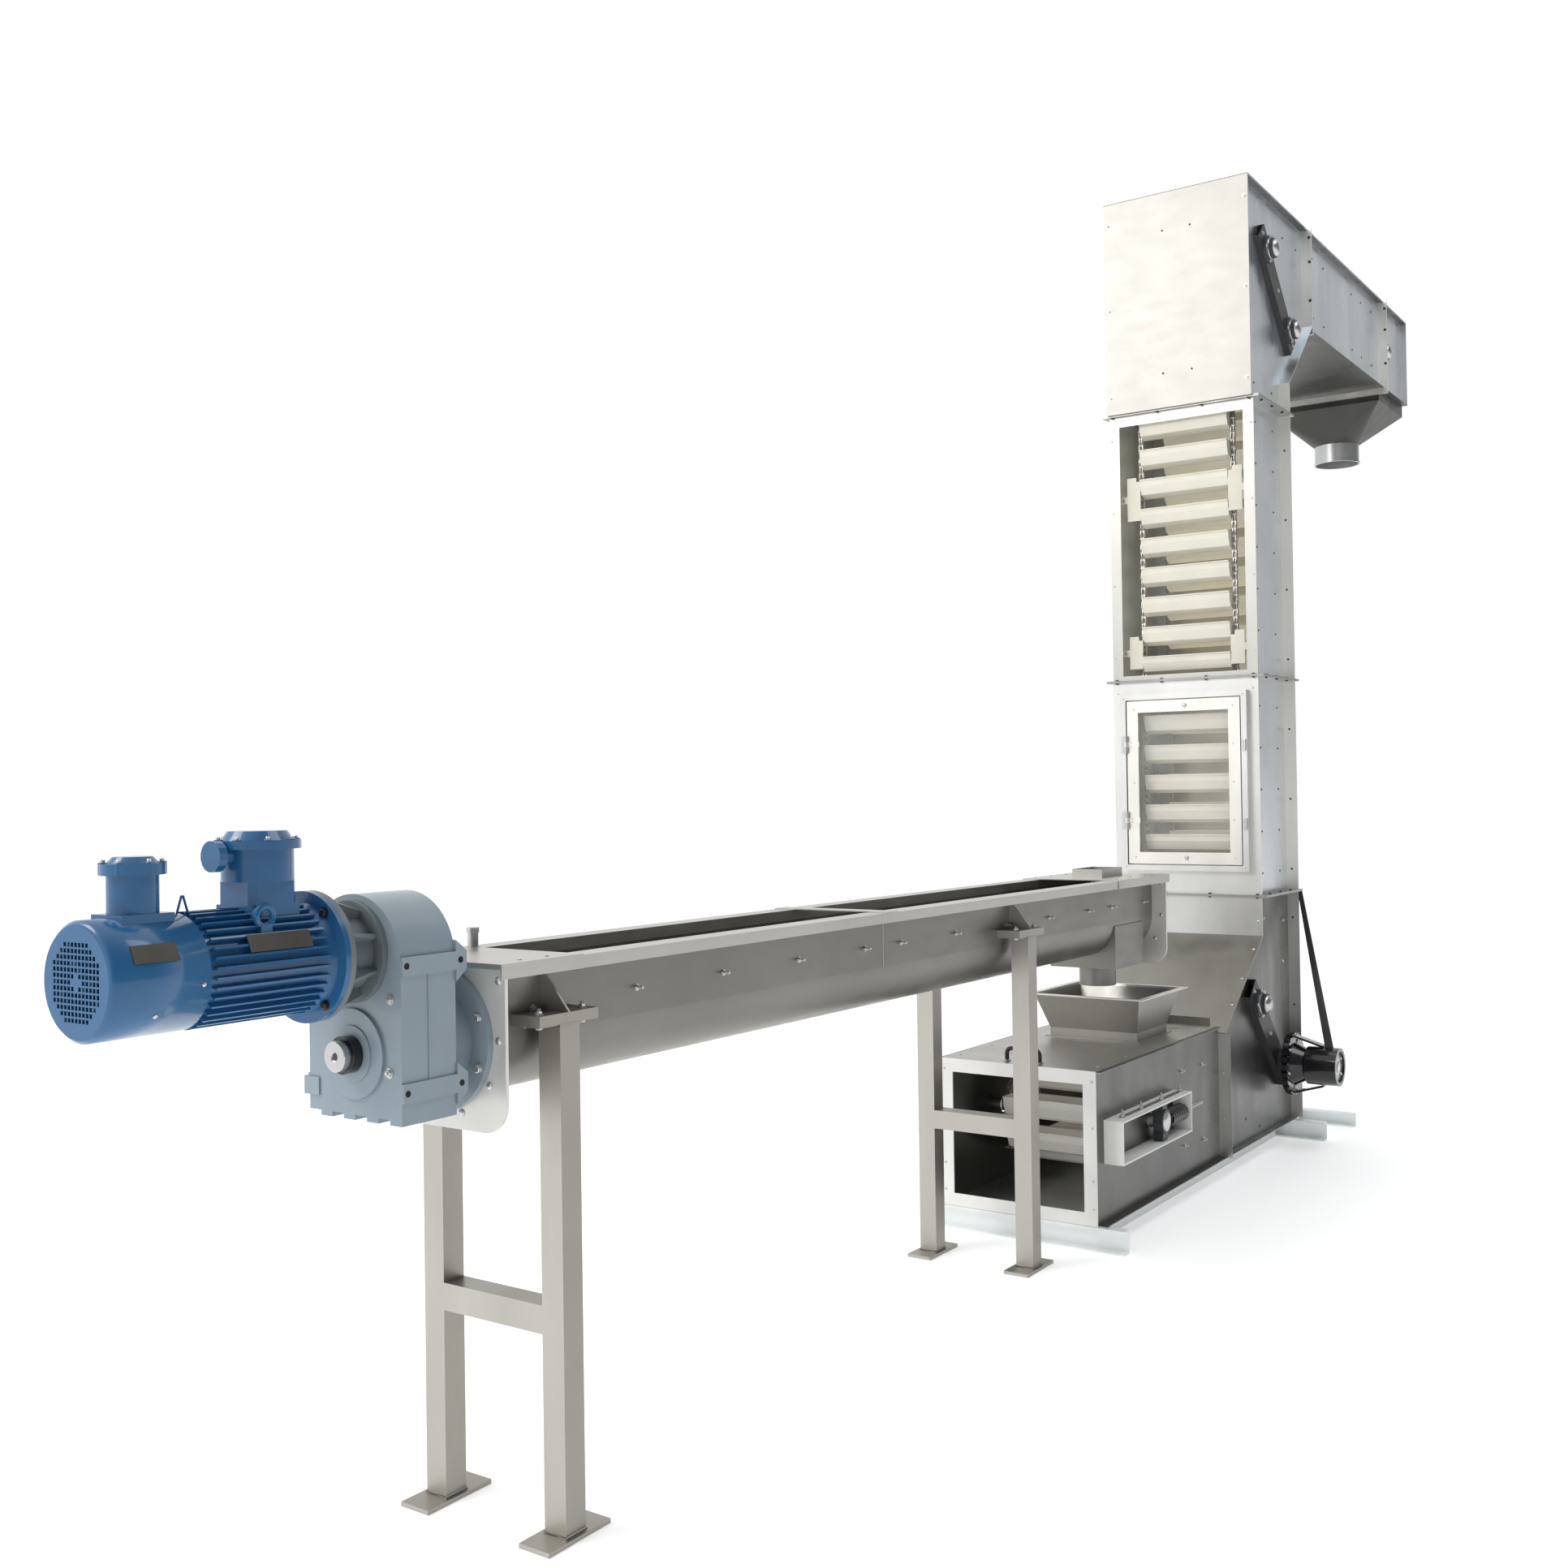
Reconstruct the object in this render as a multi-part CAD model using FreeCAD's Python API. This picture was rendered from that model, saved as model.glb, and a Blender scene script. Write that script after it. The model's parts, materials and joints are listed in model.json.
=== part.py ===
import FreeCAD, Part
import math
import os

# Bucket elevator of the Z kind with the screw conveyor that feeds it.
# Millimetres. +X runs with the product, from the feed end to the discharge.
# +Z is up, the floor is z = 0 and y = 0 is the machine's centre plane.
# x = 0 is the middle of the underside of the rear base channel, below the tower.
# The right-hand side is the -Y side, the left-hand side is the +Y side.

V = FreeCAD.Vector
X_AXIS = V(1, 0, 0)
Y_AXIS = V(0, 1, 0)
Z_AXIS = V(0, 0, 1)

# Base frame
CHANNEL_H = 80
CHANNEL_FLANGE = 43
CHANNEL_T = 6
FRONT_CHANNEL_HALF = 385
REAR_CHANNEL_HALF = 450
OUTER_CHANNEL_H = 60
OUTER_CHANNEL_HALF = 480
OUTER_CHANNEL_OFFSET = 350
RAIL_W = 40
RAIL_Y = 200

# Casing of the elevator
SHEET = 3
FLANGE_W = 30
FLANGE_T = 5
LIP_T = 4
WALL_HALF = 292
FRONT_LIP = 29
REAR_LIP = 49
JOINT_LIP = 56
JOINT_AHEAD = 14
JOINT_BEHIND = 30
TOWER_DEPTH = 445
REAR_CHANNEL_SETBACK = 400
BOOT_REACH = 480
BOX_LENGTH = 1190
BOX_TOP_Z = 598
SLOPE_LOW_Z = 572
SLOPE_TOP_Z = 914
BOOT_JOINT_Z = 1080
DOOR_SECTION_H = 926
OPEN_SECTION_H = 1174
HEAD_H = 934
HEAD_LENGTH = 815
HEAD_PROUD = 25
HEAD_SLOPE_RISE = 136
ARM_H = 464
ARM_LENGTH = 1357
END_LENGTH = 503
FRAME_BORDER = 46
FRAME_LOW_BORDER = 20

# Inspection door
DOOR_W = 500
DOOR_SILL_H = 131
CATCH_H = 46
CATCH_T = 12
CATCH_INSET = 4
DOOR_H = 706
DOOR_T = 25
DOOR_BORDER = 50
DOOR_GAP = 5
RING_W = 24
RING_D = 32
PANE_T = 4
HINGE_PIN_R = 4
HINGE_KNUCKLE_R = 8
HINGE_RUNNING_GAP = 0.08
HINGE_LENGTH = 75
HINGE_INSET = 150

# Bucket line
WHEEL_R = 143
STRAND_SETBACK = 80
TAIL_Z = 354
TAIL_FROM_END = 480
ARM_STRAND_RISE = 63
END_WHEEL_BEYOND_ARM = 68
BUCKET_PITCH = 130
BUCKET_HALF = 195
BUCKET_W = 104
BUCKET_LIP = 9
BUCKET_LIP_T = 4
BUCKET_DEPTH = 80
BUCKET_ABOVE = 35
BUCKET_WALL = 4
BUCKET_FACETS = 4
CHAIN_W = 14
CHAIN_H = 20
SHAFT_R = 25
WHEEL_T = 8
WHEEL_TEETH = 28
TOOTH_H = 9
CHAIN_PLAY = 1
HUB_R = 50
ROUND_SIDES = 16
BORE_GAP = 0.2

# Chain guides inside the casing, as (rise above the lower joint of the open section, length)
GUIDE_PLACES = ((709, 190), (56, 143))
GUIDE_Y0 = 196
GUIDE_Y1 = 256
GUIDE_NOTCH = 18
GUIDE_AHEAD_OF_STRAND = 47
RAIL_H = 12

# Bearings
BEARING_R = 42
BEARING_FLANGE_R = 58
BEARING_FLANGE_T = 14
BEARING_L = 36
BEAM_W = 100
BEAM_D = 28
BEAM_T = 5
BEAM_OVERHANG = 95

# Lifting handle on the inlet box
HANDLE_SETBACK = 60
HANDLE_HALF = 62
HANDLE_H = 44
HANDLE_BAR_R = 7
HANDLE_BEND_R = 18
BEND_STEPS = 4

# Take-up units on the inlet box
TAKEUP_L = 640
TAKEUP_H = 146
TAKEUP_D = 70
TAKEUP_T = 5
TAKEUP_AHEAD = 418
TAKEUP_ROD_R = 8
TAKEUP_ROD_OUT = 200
TAKEUP_BOSS_L = 16
SPRING_R = 32
SPRING_WIRE_R = 5
SPRING_TURNS = 7
SPRING_FACETS = 12
SEAT_GAP = 0.3

# Drive on the lower boot shaft
DRIVE_SPROCKET_R = 132
DRIVE_SPROCKET_T = 26
DRIVE_TEETH = 24
DRIVE_HUB_R = 92
DRIVE_HUB_L = 55
DRIVE_CAN_R = 80
DRIVE_CAN_L = 130
DRIVE_ARM_W = 44
DRIVE_ARM_T = 9
STAY_TOP_W = 18
STAY_FOOT_W = 34
STAY_T = 8

# Inlet hopper
HOPPER_MID_FROM_BOOT = 390
HOPPER_RIM_Z = 765
HOPPER_RIM_X = 420
HOPPER_RIM_Y = 420
HOPPER_BASE_X = 290
HOPPER_BASE_Y = 350
HOPPER_LIP = 22
HOPPER_BASE_H = 32

# Screw conveyor
SCREW_Z = 1045
TROUGH_R = 127
TROUGH_SHEET = 3
TROUGH_TOP_Z = 1204
TROUGH_RIM_HALF = 188
TROUGH_RIM_DROP = 28
TROUGH_NEAR_FROM_FRONT = 4304
TROUGH_FAR_FROM_FRONT = 730
END_PLATE_HALF = 184
END_PLATE_LOW_Z = 861
END_PLATE_T = 8
END_PLATE_CORNER_R = 62
COVER_T = 3
COVER_OVERHANG = 16
NEAR_COVER_L = 220
NEAR_COVER_DROP = 8
FAR_COVER_L = 470
COLLAR_X0_FROM_FAR = 317
COLLAR_L = 190
COLLAR_HALF = 60
COLLAR_H = 31
SCREW_FLIGHT_R = 105
SCREW_SHAFT_R = 30
SCREW_PITCH = 200
SCREW_FLIGHT_T = 5
SCREW_FACETS = 12
OUTLET_FROM_FAR = 100
OUTLET_L = 270
OUTLET_HALF = 130
OUTLET_LOW_Z = 873
OUTLET_TOP_Z = 1032
SPOUT_R = 68
SPOUT_LOW_Z = 798
STRAP_W = 60
STRAP_FROM_FRONT = 2800

# Conveyor legs
LEG_TUBE = 60
LEG_WALL = 4
LEG_Y = 176
NEAR_LEG_FROM_PLATE = 158
FAR_LEG_FROM_PLATE = 1222
CROSSBAR_Z = 450
FOOT_L = 190
FOOT_W = 84
FOOT_T = 10
PAD_L = 180
PAD_T = 12
PAD_TOP_Z = 1080
GUSSET_T = 6
GUSSET_H = 92

# Gearmotor
MOTOR_RISE = 199
OUTPUT_FLANGE_R = 150
OUTPUT_FLANGE_T = 16
OUTPUT_COLLAR_R = 105
OUTPUT_COLLAR_L = 71
GEARBOX_W = 141
GEARBOX_HALF = 134
GEARBOX_LOW_Z = 925
ARCH_Z = 1222
BAND_H = 37
BAND_T = 5
UPPER_BAND_Z = 1201
LOWER_BAND_Z = 959
EAR_REACH = 27
EAR_SLOPE_H = 22
EAR_W = 24
FOOT_COUNT = 4
FOOT_H = 10
BOSS_R = 88
BOSS_RING_R = 56
BOSS_T = 7
CAP_R = 37
CAP_L = 22
SHAFT_END = 48
BELL_L = 98
BELL_R = 74
BELL_DISC_R = 100
BELL_DISC_T = 14
BELL_RIBS = 8
BELL_RING_T = 12
MOTOR_FLANGE_R = 125
MOTOR_FLANGE_T = 12
MOTOR_BODY_R = 92
MOTOR_BODY_L = 273
FIN_COUNT = 36
FIN_H = 12
FIN_T = 4
COWL_R = 103
COWL_L = 187
COWL_EDGE_R = 9
BOX_SETBACK = 99
TERMINAL_BASE = 104
TERMINAL_BASE_Z = 1395
TERMINAL_R = 65
TERMINAL_LID_R = 78
TERMINAL_LID_Z = 1453
TERMINAL_LID_T = 16
TERMINAL_DOME_H = 17
GLAND_R = 17
GLAND_DISC_R = 28
GLAND_Z = 1442
GLAND_REACH = 36
FAN_BOX_FROM_END = 106
FAN_BOX_BASE = 100
FAN_BOX_HALF = 45
FAN_BOX_SEAT_Z = 1349
FAN_BOX_R = 43
FAN_BOX_LID_R = 54
FAN_BOX_LID_Z = 1418
FAN_BOX_LID_T = 20
FAN_BOX_DOME_H = 11

# Head discharge
OUTLET_RING_R = 116
OUTLET_RING_H = 100
OUTLET_RING_T = 4
OUTLET_SIDES = 24
OUTLET_BEAD = 4
CHUTE_COLLAR = 60
CHUTE_DROP = 170

# Places worked out from the sizes above
FRONT_X = -REAR_CHANNEL_SETBACK
REAR_X = FRONT_X + TOWER_DEPTH
BOOT_X = FRONT_X - BOOT_REACH
INLET_X = BOOT_X - BOX_LENGTH
HEAD_X = FRONT_X + HEAD_LENGTH
ARM_X = HEAD_X + ARM_LENGTH
END_X = ARM_X + END_LENGTH
FLOOR_Z = CHANNEL_H
DOOR_JOINT_Z = BOOT_JOINT_Z + DOOR_SECTION_H
DOOR_LOW_Z = BOOT_JOINT_Z + DOOR_SILL_H
HEAD_JOINT_Z = DOOR_JOINT_Z + OPEN_SECTION_H
HEAD_TOP_Z = HEAD_JOINT_Z + HEAD_H
HEAD_SLOPE_Z = HEAD_JOINT_Z + HEAD_SLOPE_RISE
ARM_BOTTOM_Z = HEAD_TOP_Z - ARM_H
ARM_LOW_STRAND_Z = ARM_BOTTOM_Z + ARM_STRAND_RISE
WALL_IN = WALL_HALF - SHEET
PLATE_HALF = WALL_HALF + FRONT_LIP
REAR_HALF = WALL_HALF + REAR_LIP
JOINT_HALF = WALL_HALF + JOINT_LIP
HEAD_FRONT_X = FRONT_X - HEAD_PROUD

FRONT_STRAND_X = FRONT_X + STRAND_SETBACK
REAR_STRAND_X = FRONT_STRAND_X + 2 * WHEEL_R
GUIDE_X = FRONT_STRAND_X - GUIDE_AHEAD_OF_STRAND
TAIL_X = INLET_X + TAIL_FROM_END
INLET_TOP_STRAND_Z = TAIL_Z + WHEEL_R
INLET_LOW_STRAND_Z = TAIL_Z - WHEEL_R
ARM_TOP_STRAND_Z = ARM_LOW_STRAND_Z + 2 * WHEEL_R
END_WHEEL_X = ARM_X + END_WHEEL_BEYOND_ARM

# Wheel centres in the order that the line meets them, as (x, z)
TAIL_WHEEL = (TAIL_X, TAIL_Z)
BOOT_LOW_WHEEL = (REAR_STRAND_X - WHEEL_R, INLET_LOW_STRAND_Z + WHEEL_R)
HEAD_LOW_WHEEL = (REAR_STRAND_X + WHEEL_R, ARM_LOW_STRAND_Z - WHEEL_R)
END_WHEEL = (END_WHEEL_X, ARM_LOW_STRAND_Z + WHEEL_R)
HEAD_TOP_WHEEL = (FRONT_STRAND_X + WHEEL_R, ARM_TOP_STRAND_Z - WHEEL_R)
BOOT_TOP_WHEEL = (FRONT_STRAND_X - WHEEL_R, INLET_TOP_STRAND_Z + WHEEL_R)
ALL_WHEELS = (TAIL_WHEEL, BOOT_LOW_WHEEL, HEAD_LOW_WHEEL, END_WHEEL, HEAD_TOP_WHEEL, BOOT_TOP_WHEEL)

NEAR_PLATE_X = FRONT_X - TROUGH_NEAR_FROM_FRONT
FAR_PLATE_X = FRONT_X - TROUGH_FAR_FROM_FRONT
NEAR_LEG_X = NEAR_PLATE_X + NEAR_LEG_FROM_PLATE
FAR_LEG_X = FAR_PLATE_X - FAR_LEG_FROM_PLATE
OUTLET_X0 = FAR_PLATE_X - OUTLET_FROM_FAR - OUTLET_L
OUTLET_X1 = FAR_PLATE_X - OUTLET_FROM_FAR
HOPPER_X = BOOT_X - HOPPER_MID_FROM_BOOT
MOTOR_Z = SCREW_Z + MOTOR_RISE

NODES = {}


def box(x0, x1, y0, y1, z0, z1):
    return Part.makeBox(x1 - x0, y1 - y0, z1 - z0, V(x0, y0, z0))


def cyl(start, direction, radius, length):
    return Part.makeCylinder(radius, length, V(*start), direction)


def cyl_y(x, z, y0, y1, radius):
    return cyl((x, y0, z), Y_AXIS, radius, y1 - y0)


def cyl_x(x0, x1, y, z, radius):
    return cyl((x0, y, z), X_AXIS, radius, x1 - x0)


def cyl_z(x, y, z0, z1, radius):
    return cyl((x, y, z0), Z_AXIS, radius, z1 - z0)


def prism(points, direction):
    wire = Part.makePolygon(points + [points[0]])
    return Part.Face(wire).extrude(direction)


def prism_y(outline, y0, y1):
    return prism([V(x, y0, z) for x, z in outline], V(0, y1 - y0, 0))


def prism_x(outline, x0, x1):
    return prism([V(x0, y, z) for y, z in outline], V(x1 - x0, 0, 0))


def prism_z(outline, z0, z1):
    return prism([V(x, y, z0) for x, y in outline], V(0, 0, z1 - z0))


def ring_points(radius, sides):
    """Corners of a regular outline whose flats lie at the given radius."""
    corner = radius / math.cos(math.pi / sides)
    turns = [2 * math.pi * (i + 0.5) / sides for i in range(sides)]
    return [(corner * math.cos(turn), corner * math.sin(turn)) for turn in turns]


def bar_y(x, z, y0, y1, radius, sides=ROUND_SIDES):
    return prism_y([(x + a, z + b) for a, b in ring_points(radius, sides)], y0, y1)


def bar_x(x0, x1, y, z, radius, sides=ROUND_SIDES):
    return prism_x([(y + a, z + b) for a, b in ring_points(radius, sides)], x0, x1)


def bar_z(x, y, z0, z1, radius, sides=ROUND_SIDES):
    return prism_z([(x + a, y + b) for a, b in ring_points(radius, sides)], z0, z1)


def solid_between(rings):
    """A solid through rings of corners in order, closed by flat ends."""
    faces = []
    for low, high in zip(rings[:-1], rings[1:]):
        for i in range(len(low)):
            corners = [low[i - 1], low[i], high[i], high[i - 1]]
            faces.append(Part.Face(Part.makePolygon(corners + [corners[0]])))
    for end in (rings[0], rings[-1]):
        faces.append(Part.Face(Part.makePolygon(end + [end[0]])))
    return Part.makeSolid(Part.makeShell(faces))


def fuse(shapes):
    result = shapes[0].multiFuse(shapes[1:])
    return result.removeSplitter()


def mirrored(shape):
    return shape.mirror(V(0, 0, 0), Y_AXIS)


def both_sides(shape):
    return [shape, mirrored(shape)]


def node(name, *shapes):
    solids = []
    for shape in shapes:
        solids.extend(shape.Solids)
    NODES[name] = solids[0] if len(solids) == 1 else Part.makeCompound(solids)


# Base frame

def base_channel(web_x, half, height):
    """A channel across the machine with its flanges towards the feed end."""
    x0 = web_x - CHANNEL_FLANGE
    outline = [
        (web_x, 0), (web_x, height), (x0, height), (x0, height - CHANNEL_T),
        (web_x - CHANNEL_T, height - CHANNEL_T), (web_x - CHANNEL_T, CHANNEL_T), (x0, CHANNEL_T), (x0, 0),
    ]
    return prism_y(outline, -half, half)


def build_base():
    front_web = INLET_X + CHANNEL_FLANGE
    rear_web = CHANNEL_FLANGE / 2
    outer_web = rear_web + OUTER_CHANNEL_OFFSET
    front = base_channel(front_web, FRONT_CHANNEL_HALF, CHANNEL_H)
    rear = base_channel(rear_web, REAR_CHANNEL_HALF, CHANNEL_H)
    outer = base_channel(outer_web, OUTER_CHANNEL_HALF, OUTER_CHANNEL_H)
    node("base_channels", front, rear, outer)
    spans = ((front_web, rear_web - CHANNEL_FLANGE), (rear_web, outer_web - CHANNEL_FLANGE))
    rails = []
    for x0, x1 in spans:
        bar = box(x0, x1, -RAIL_Y - RAIL_W, -RAIL_Y, 0, OUTER_CHANNEL_H)
        hollow = box(x0, x1, -RAIL_Y - RAIL_W + SHEET, -RAIL_Y - SHEET, SHEET, OUTER_CHANNEL_H - SHEET)
        rails.extend(both_sides(bar.cut(hollow)))
    node("base_rails", *rails)


# Inlet box and boot

def build_inlet_box():
    floor = box(INLET_X, REAR_X, -PLATE_HALF, PLATE_HALF, FLOOR_Z, FLOOR_Z + SHEET)
    node("floor_plate", floor)

    z0 = FLOOR_Z + SHEET
    z1 = BOX_TOP_Z - SHEET
    wall = box(INLET_X + FLANGE_T, BOOT_X, -WALL_HALF, -WALL_IN, z0, z1)
    lower_lip = box(INLET_X + FLANGE_T, BOOT_X, -WALL_HALF - FLANGE_W, -WALL_HALF, z0, z0 + SHEET)
    upper_lip = box(INLET_X + FLANGE_T, BOOT_X, -WALL_HALF - FLANGE_W / 2, -WALL_HALF, z1 - SHEET, z1)
    shaft_hole = bar_y(TAIL_X, TAIL_Z, -WALL_HALF - 1, -WALL_IN + 1, SHAFT_R + DOOR_GAP)
    side = fuse([wall, lower_lip, upper_lip]).cut(shaft_hole)
    node("inlet_box_sides", *both_sides(side))

    top = box(INLET_X + FLANGE_T, BOOT_X, -WALL_HALF, WALL_HALF, z1, BOX_TOP_Z)
    throat = box(HOPPER_X - HOPPER_BASE_X / 2, HOPPER_X + HOPPER_BASE_X / 2,
                 -HOPPER_BASE_Y / 2, HOPPER_BASE_Y / 2, z1 - 1, BOX_TOP_Z + 1)
    upstand = box(BOOT_X - SHEET, BOOT_X, -WALL_HALF + FLANGE_W, WALL_HALF, BOX_TOP_Z, BOX_TOP_Z + FLANGE_W)
    node("inlet_box_top", fuse([top.cut(throat), upstand]))

    outer = box(INLET_X, INLET_X + FLANGE_T, -WALL_HALF, WALL_HALF, FLOOR_Z + SHEET, BOX_TOP_Z)
    inner = box(INLET_X - 1, INLET_X + FLANGE_T + 1, -WALL_HALF + FRAME_BORDER, WALL_HALF - FRAME_BORDER,
                FLOOR_Z + FRAME_BORDER, BOX_TOP_Z - FRAME_BORDER)
    node("inlet_end_frame", outer.cut(inner))


def build_hopper():
    x0 = HOPPER_X - HOPPER_RIM_X / 2
    x1 = HOPPER_X + HOPPER_RIM_X / 2
    y1 = HOPPER_RIM_Y / 2
    bx0 = HOPPER_X - HOPPER_BASE_X / 2
    bx1 = HOPPER_X + HOPPER_BASE_X / 2
    by1 = HOPPER_BASE_Y / 2
    z0 = BOX_TOP_Z + HOPPER_BASE_H

    def ring(xa, xb, y, z, inset):
        return [V(xa + inset, -y + inset, z), V(xb - inset, -y + inset, z), V(xb - inset, y - inset, z),
                V(xa + inset, y - inset, z)]

    def pyramid(inset):
        return solid_between([ring(bx0, bx1, by1, z0, inset), ring(x0, x1, y1, HOPPER_RIM_Z, inset)])

    funnel = pyramid(0).cut(pyramid(SHEET))
    collar = box(bx0, bx1, -by1, by1, BOX_TOP_Z, z0)
    collar = collar.cut(box(bx0 + SHEET, bx1 - SHEET, -by1 + SHEET, by1 - SHEET, BOX_TOP_Z - 1, z0 + 1))
    base = box(bx0 - FLANGE_W / 2, bx1 + FLANGE_W / 2, -by1 - FLANGE_W / 2, by1 + FLANGE_W / 2,
               BOX_TOP_Z, BOX_TOP_Z + SHEET)
    base = base.cut(box(bx0 + SHEET, bx1 - SHEET, -by1 + SHEET, by1 - SHEET, BOX_TOP_Z - 1, BOX_TOP_Z + FLANGE_T))
    rim = box(x0 - HOPPER_LIP, x1 + HOPPER_LIP, -y1 - HOPPER_LIP, y1 + HOPPER_LIP,
              HOPPER_RIM_Z - SHEET, HOPPER_RIM_Z)
    rim = rim.cut(box(x0 + SHEET, x1 - SHEET, -y1 + SHEET, y1 - SHEET, HOPPER_RIM_Z - FLANGE_T, HOPPER_RIM_Z + 1))
    node("hopper", fuse([funnel, collar, base, rim]))


def build_handle():
    """A bent round bar with its two ends on the box's top."""
    x = INLET_X + HANDLE_SETBACK
    half = HANDLE_HALF
    r = HANDLE_BEND_R
    z0 = BOX_TOP_Z
    z1 = BOX_TOP_Z + HANDLE_H - r
    quarter = math.pi / 2
    stations = [(-half, z0, 0)]
    for i in range(BEND_STEPS + 1):
        turn = quarter * i / BEND_STEPS
        stations.append((-half + r - r * math.cos(turn), z1 + r * math.sin(turn), turn))
    for i in range(BEND_STEPS + 1):
        turn = quarter * i / BEND_STEPS
        stations.append((half - r + r * math.sin(turn), z1 + r * math.cos(turn), quarter + turn))
    stations.append((half, z0, 2 * quarter))
    rings = []
    for y, z, turn in stations:
        across = V(0, -math.cos(turn), math.sin(turn))
        rings.append([V(x + a, y, z) + across * b for a, b in ring_points(HANDLE_BAR_R, 8)])
    node("box_handle", solid_between(rings))


def boot_outline(inset):
    """Side view of the boot, from the joint with the inlet box to the joint with the tower."""
    return [
        (BOOT_X, FLOOR_Z + SHEET), (REAR_X - inset, FLOOR_Z + SHEET), (REAR_X - inset, BOOT_JOINT_Z - FLANGE_T),
        (FRONT_X + inset, BOOT_JOINT_Z - FLANGE_T), (FRONT_X + inset, SLOPE_TOP_Z - inset),
        (BOOT_X, SLOPE_LOW_Z - inset),
    ]


def build_boot():
    wall = prism_y(boot_outline(SHEET), -WALL_HALF, -WALL_IN)
    for x, z in (BOOT_LOW_WHEEL, BOOT_TOP_WHEEL):
        wall = wall.cut(bar_y(x, z, -WALL_HALF - 1, -WALL_IN + 1, SHAFT_R + DOOR_GAP))
    joint_lip = box(BOOT_X, BOOT_X + LIP_T, -REAR_HALF, -WALL_HALF, FLOOR_Z + SHEET, SLOPE_LOW_Z - SHEET)
    rear_lip = box(REAR_X - SHEET - LIP_T, REAR_X - SHEET, -REAR_HALF, -WALL_HALF, FLOOR_Z + SHEET,
                   BOOT_JOINT_Z - FLANGE_T)
    outer = boot_outline(SHEET)
    inner = boot_outline(SHEET + LIP_T)
    front_lip = prism_y(outer[3:] + inner[:2:-1], -PLATE_HALF, -WALL_HALF)
    node("boot_sides", *both_sides(fuse([wall, joint_lip, rear_lip, front_lip])))
    node("boot_front_plate", prism_y(boot_outline(0)[3:] + outer[:2:-1], -PLATE_HALF, PLATE_HALF))


# Tower

def casing_flange(z, x0, x1):
    """A joint ring round the casing, welded to the wall ends above and below the joint."""
    outer = box(x0 - JOINT_AHEAD, x1 + JOINT_BEHIND, -JOINT_HALF, JOINT_HALF, z - FLANGE_T, z + FLANGE_T)
    inner = box(x0 + SHEET, x1 - SHEET, -WALL_IN, WALL_IN, z - 2 * FLANGE_T, z + 2 * FLANGE_T)
    return outer.cut(inner)


def arm_flange(x, z0, z1):
    outer = box(x - FLANGE_T, x + FLANGE_T, -REAR_HALF, REAR_HALF, z0 - FLANGE_W, z1 + FLANGE_T)
    inner = box(x - 2 * FLANGE_T, x + 2 * FLANGE_T, -WALL_IN, WALL_IN, z0 + SHEET, z1 - SHEET)
    return outer.cut(inner)


def section_side(z0, z1):
    """One side wall of a tower section with its lips at the front and at the rear."""
    wall = box(FRONT_X + SHEET, REAR_X - SHEET, -WALL_HALF, -WALL_IN, z0, z1)
    front_lip = box(FRONT_X + SHEET, FRONT_X + SHEET + LIP_T, -PLATE_HALF, -WALL_HALF, z0, z1)
    rear_lip = box(REAR_X - SHEET - LIP_T, REAR_X - SHEET, -REAR_HALF, -WALL_HALF, z0, z1)
    return fuse([wall, front_lip, rear_lip])


def section_front(z0, z1, y_half, low, high):
    """The front wall of a section round its opening."""
    wall = box(FRONT_X, FRONT_X + SHEET, -PLATE_HALF, PLATE_HALF, z0, z1)
    return wall.cut(box(FRONT_X - 1, FRONT_X + SHEET + 1, -y_half, y_half, low, high))


def build_tower():
    joints = (BOOT_JOINT_Z, DOOR_JOINT_Z, HEAD_JOINT_Z)
    rings = [casing_flange(z, FRONT_X, REAR_X) for z in joints]
    rings += [arm_flange(x, ARM_BOTTOM_Z, HEAD_TOP_Z) for x in (HEAD_X, ARM_X)]
    node("casing_flanges", *rings)

    door_z = (BOOT_JOINT_Z + FLANGE_T, DOOR_JOINT_Z - FLANGE_T)
    open_z = (DOOR_JOINT_Z + FLANGE_T, HEAD_JOINT_Z - FLANGE_T)
    node("door_section_sides", *both_sides(section_side(*door_z)))
    node("open_section_sides", *both_sides(section_side(*open_z)))

    rear_spans = ((FLOOR_Z + SHEET, BOOT_JOINT_Z - FLANGE_T), door_z, open_z,
                  (HEAD_JOINT_Z + FLANGE_T, HEAD_SLOPE_Z))
    rears = [box(REAR_X - SHEET, REAR_X, -REAR_HALF, REAR_HALF, z0, z1) for z0, z1 in rear_spans]
    node("rear_walls", *rears)

    hole_half = DOOR_W / 2 - DOOR_BORDER + 2 * DOOR_GAP
    hole_low = DOOR_LOW_Z + DOOR_BORDER - 2 * DOOR_GAP
    hole_high = DOOR_LOW_Z + DOOR_H - DOOR_BORDER + 2 * DOOR_GAP
    front = section_front(door_z[0], door_z[1], hole_half, hole_low, hole_high)
    node("door_section_front", fuse([front, door_ring()]))
    window = section_front(open_z[0], open_z[1], PLATE_HALF - FRAME_BORDER,
                           open_z[0] + FRAME_LOW_BORDER, open_z[1] - FRAME_BORDER)
    node("open_section_front", window)


def door_ring():
    """The raised rim that the door closes into, on the front wall."""
    half = DOOR_W / 2 + DOOR_GAP
    low = DOOR_LOW_Z - DOOR_GAP
    high = DOOR_LOW_Z + DOOR_H + DOOR_GAP
    outer = box(FRONT_X - RING_D, FRONT_X, -half - RING_W, half + RING_W, low - RING_W, high + RING_W)
    return outer.cut(box(FRONT_X - RING_D - 1, FRONT_X + 1, -half, half, low, high))


# Inspection door, shut at rest, hinged on its left-hand edge

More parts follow.
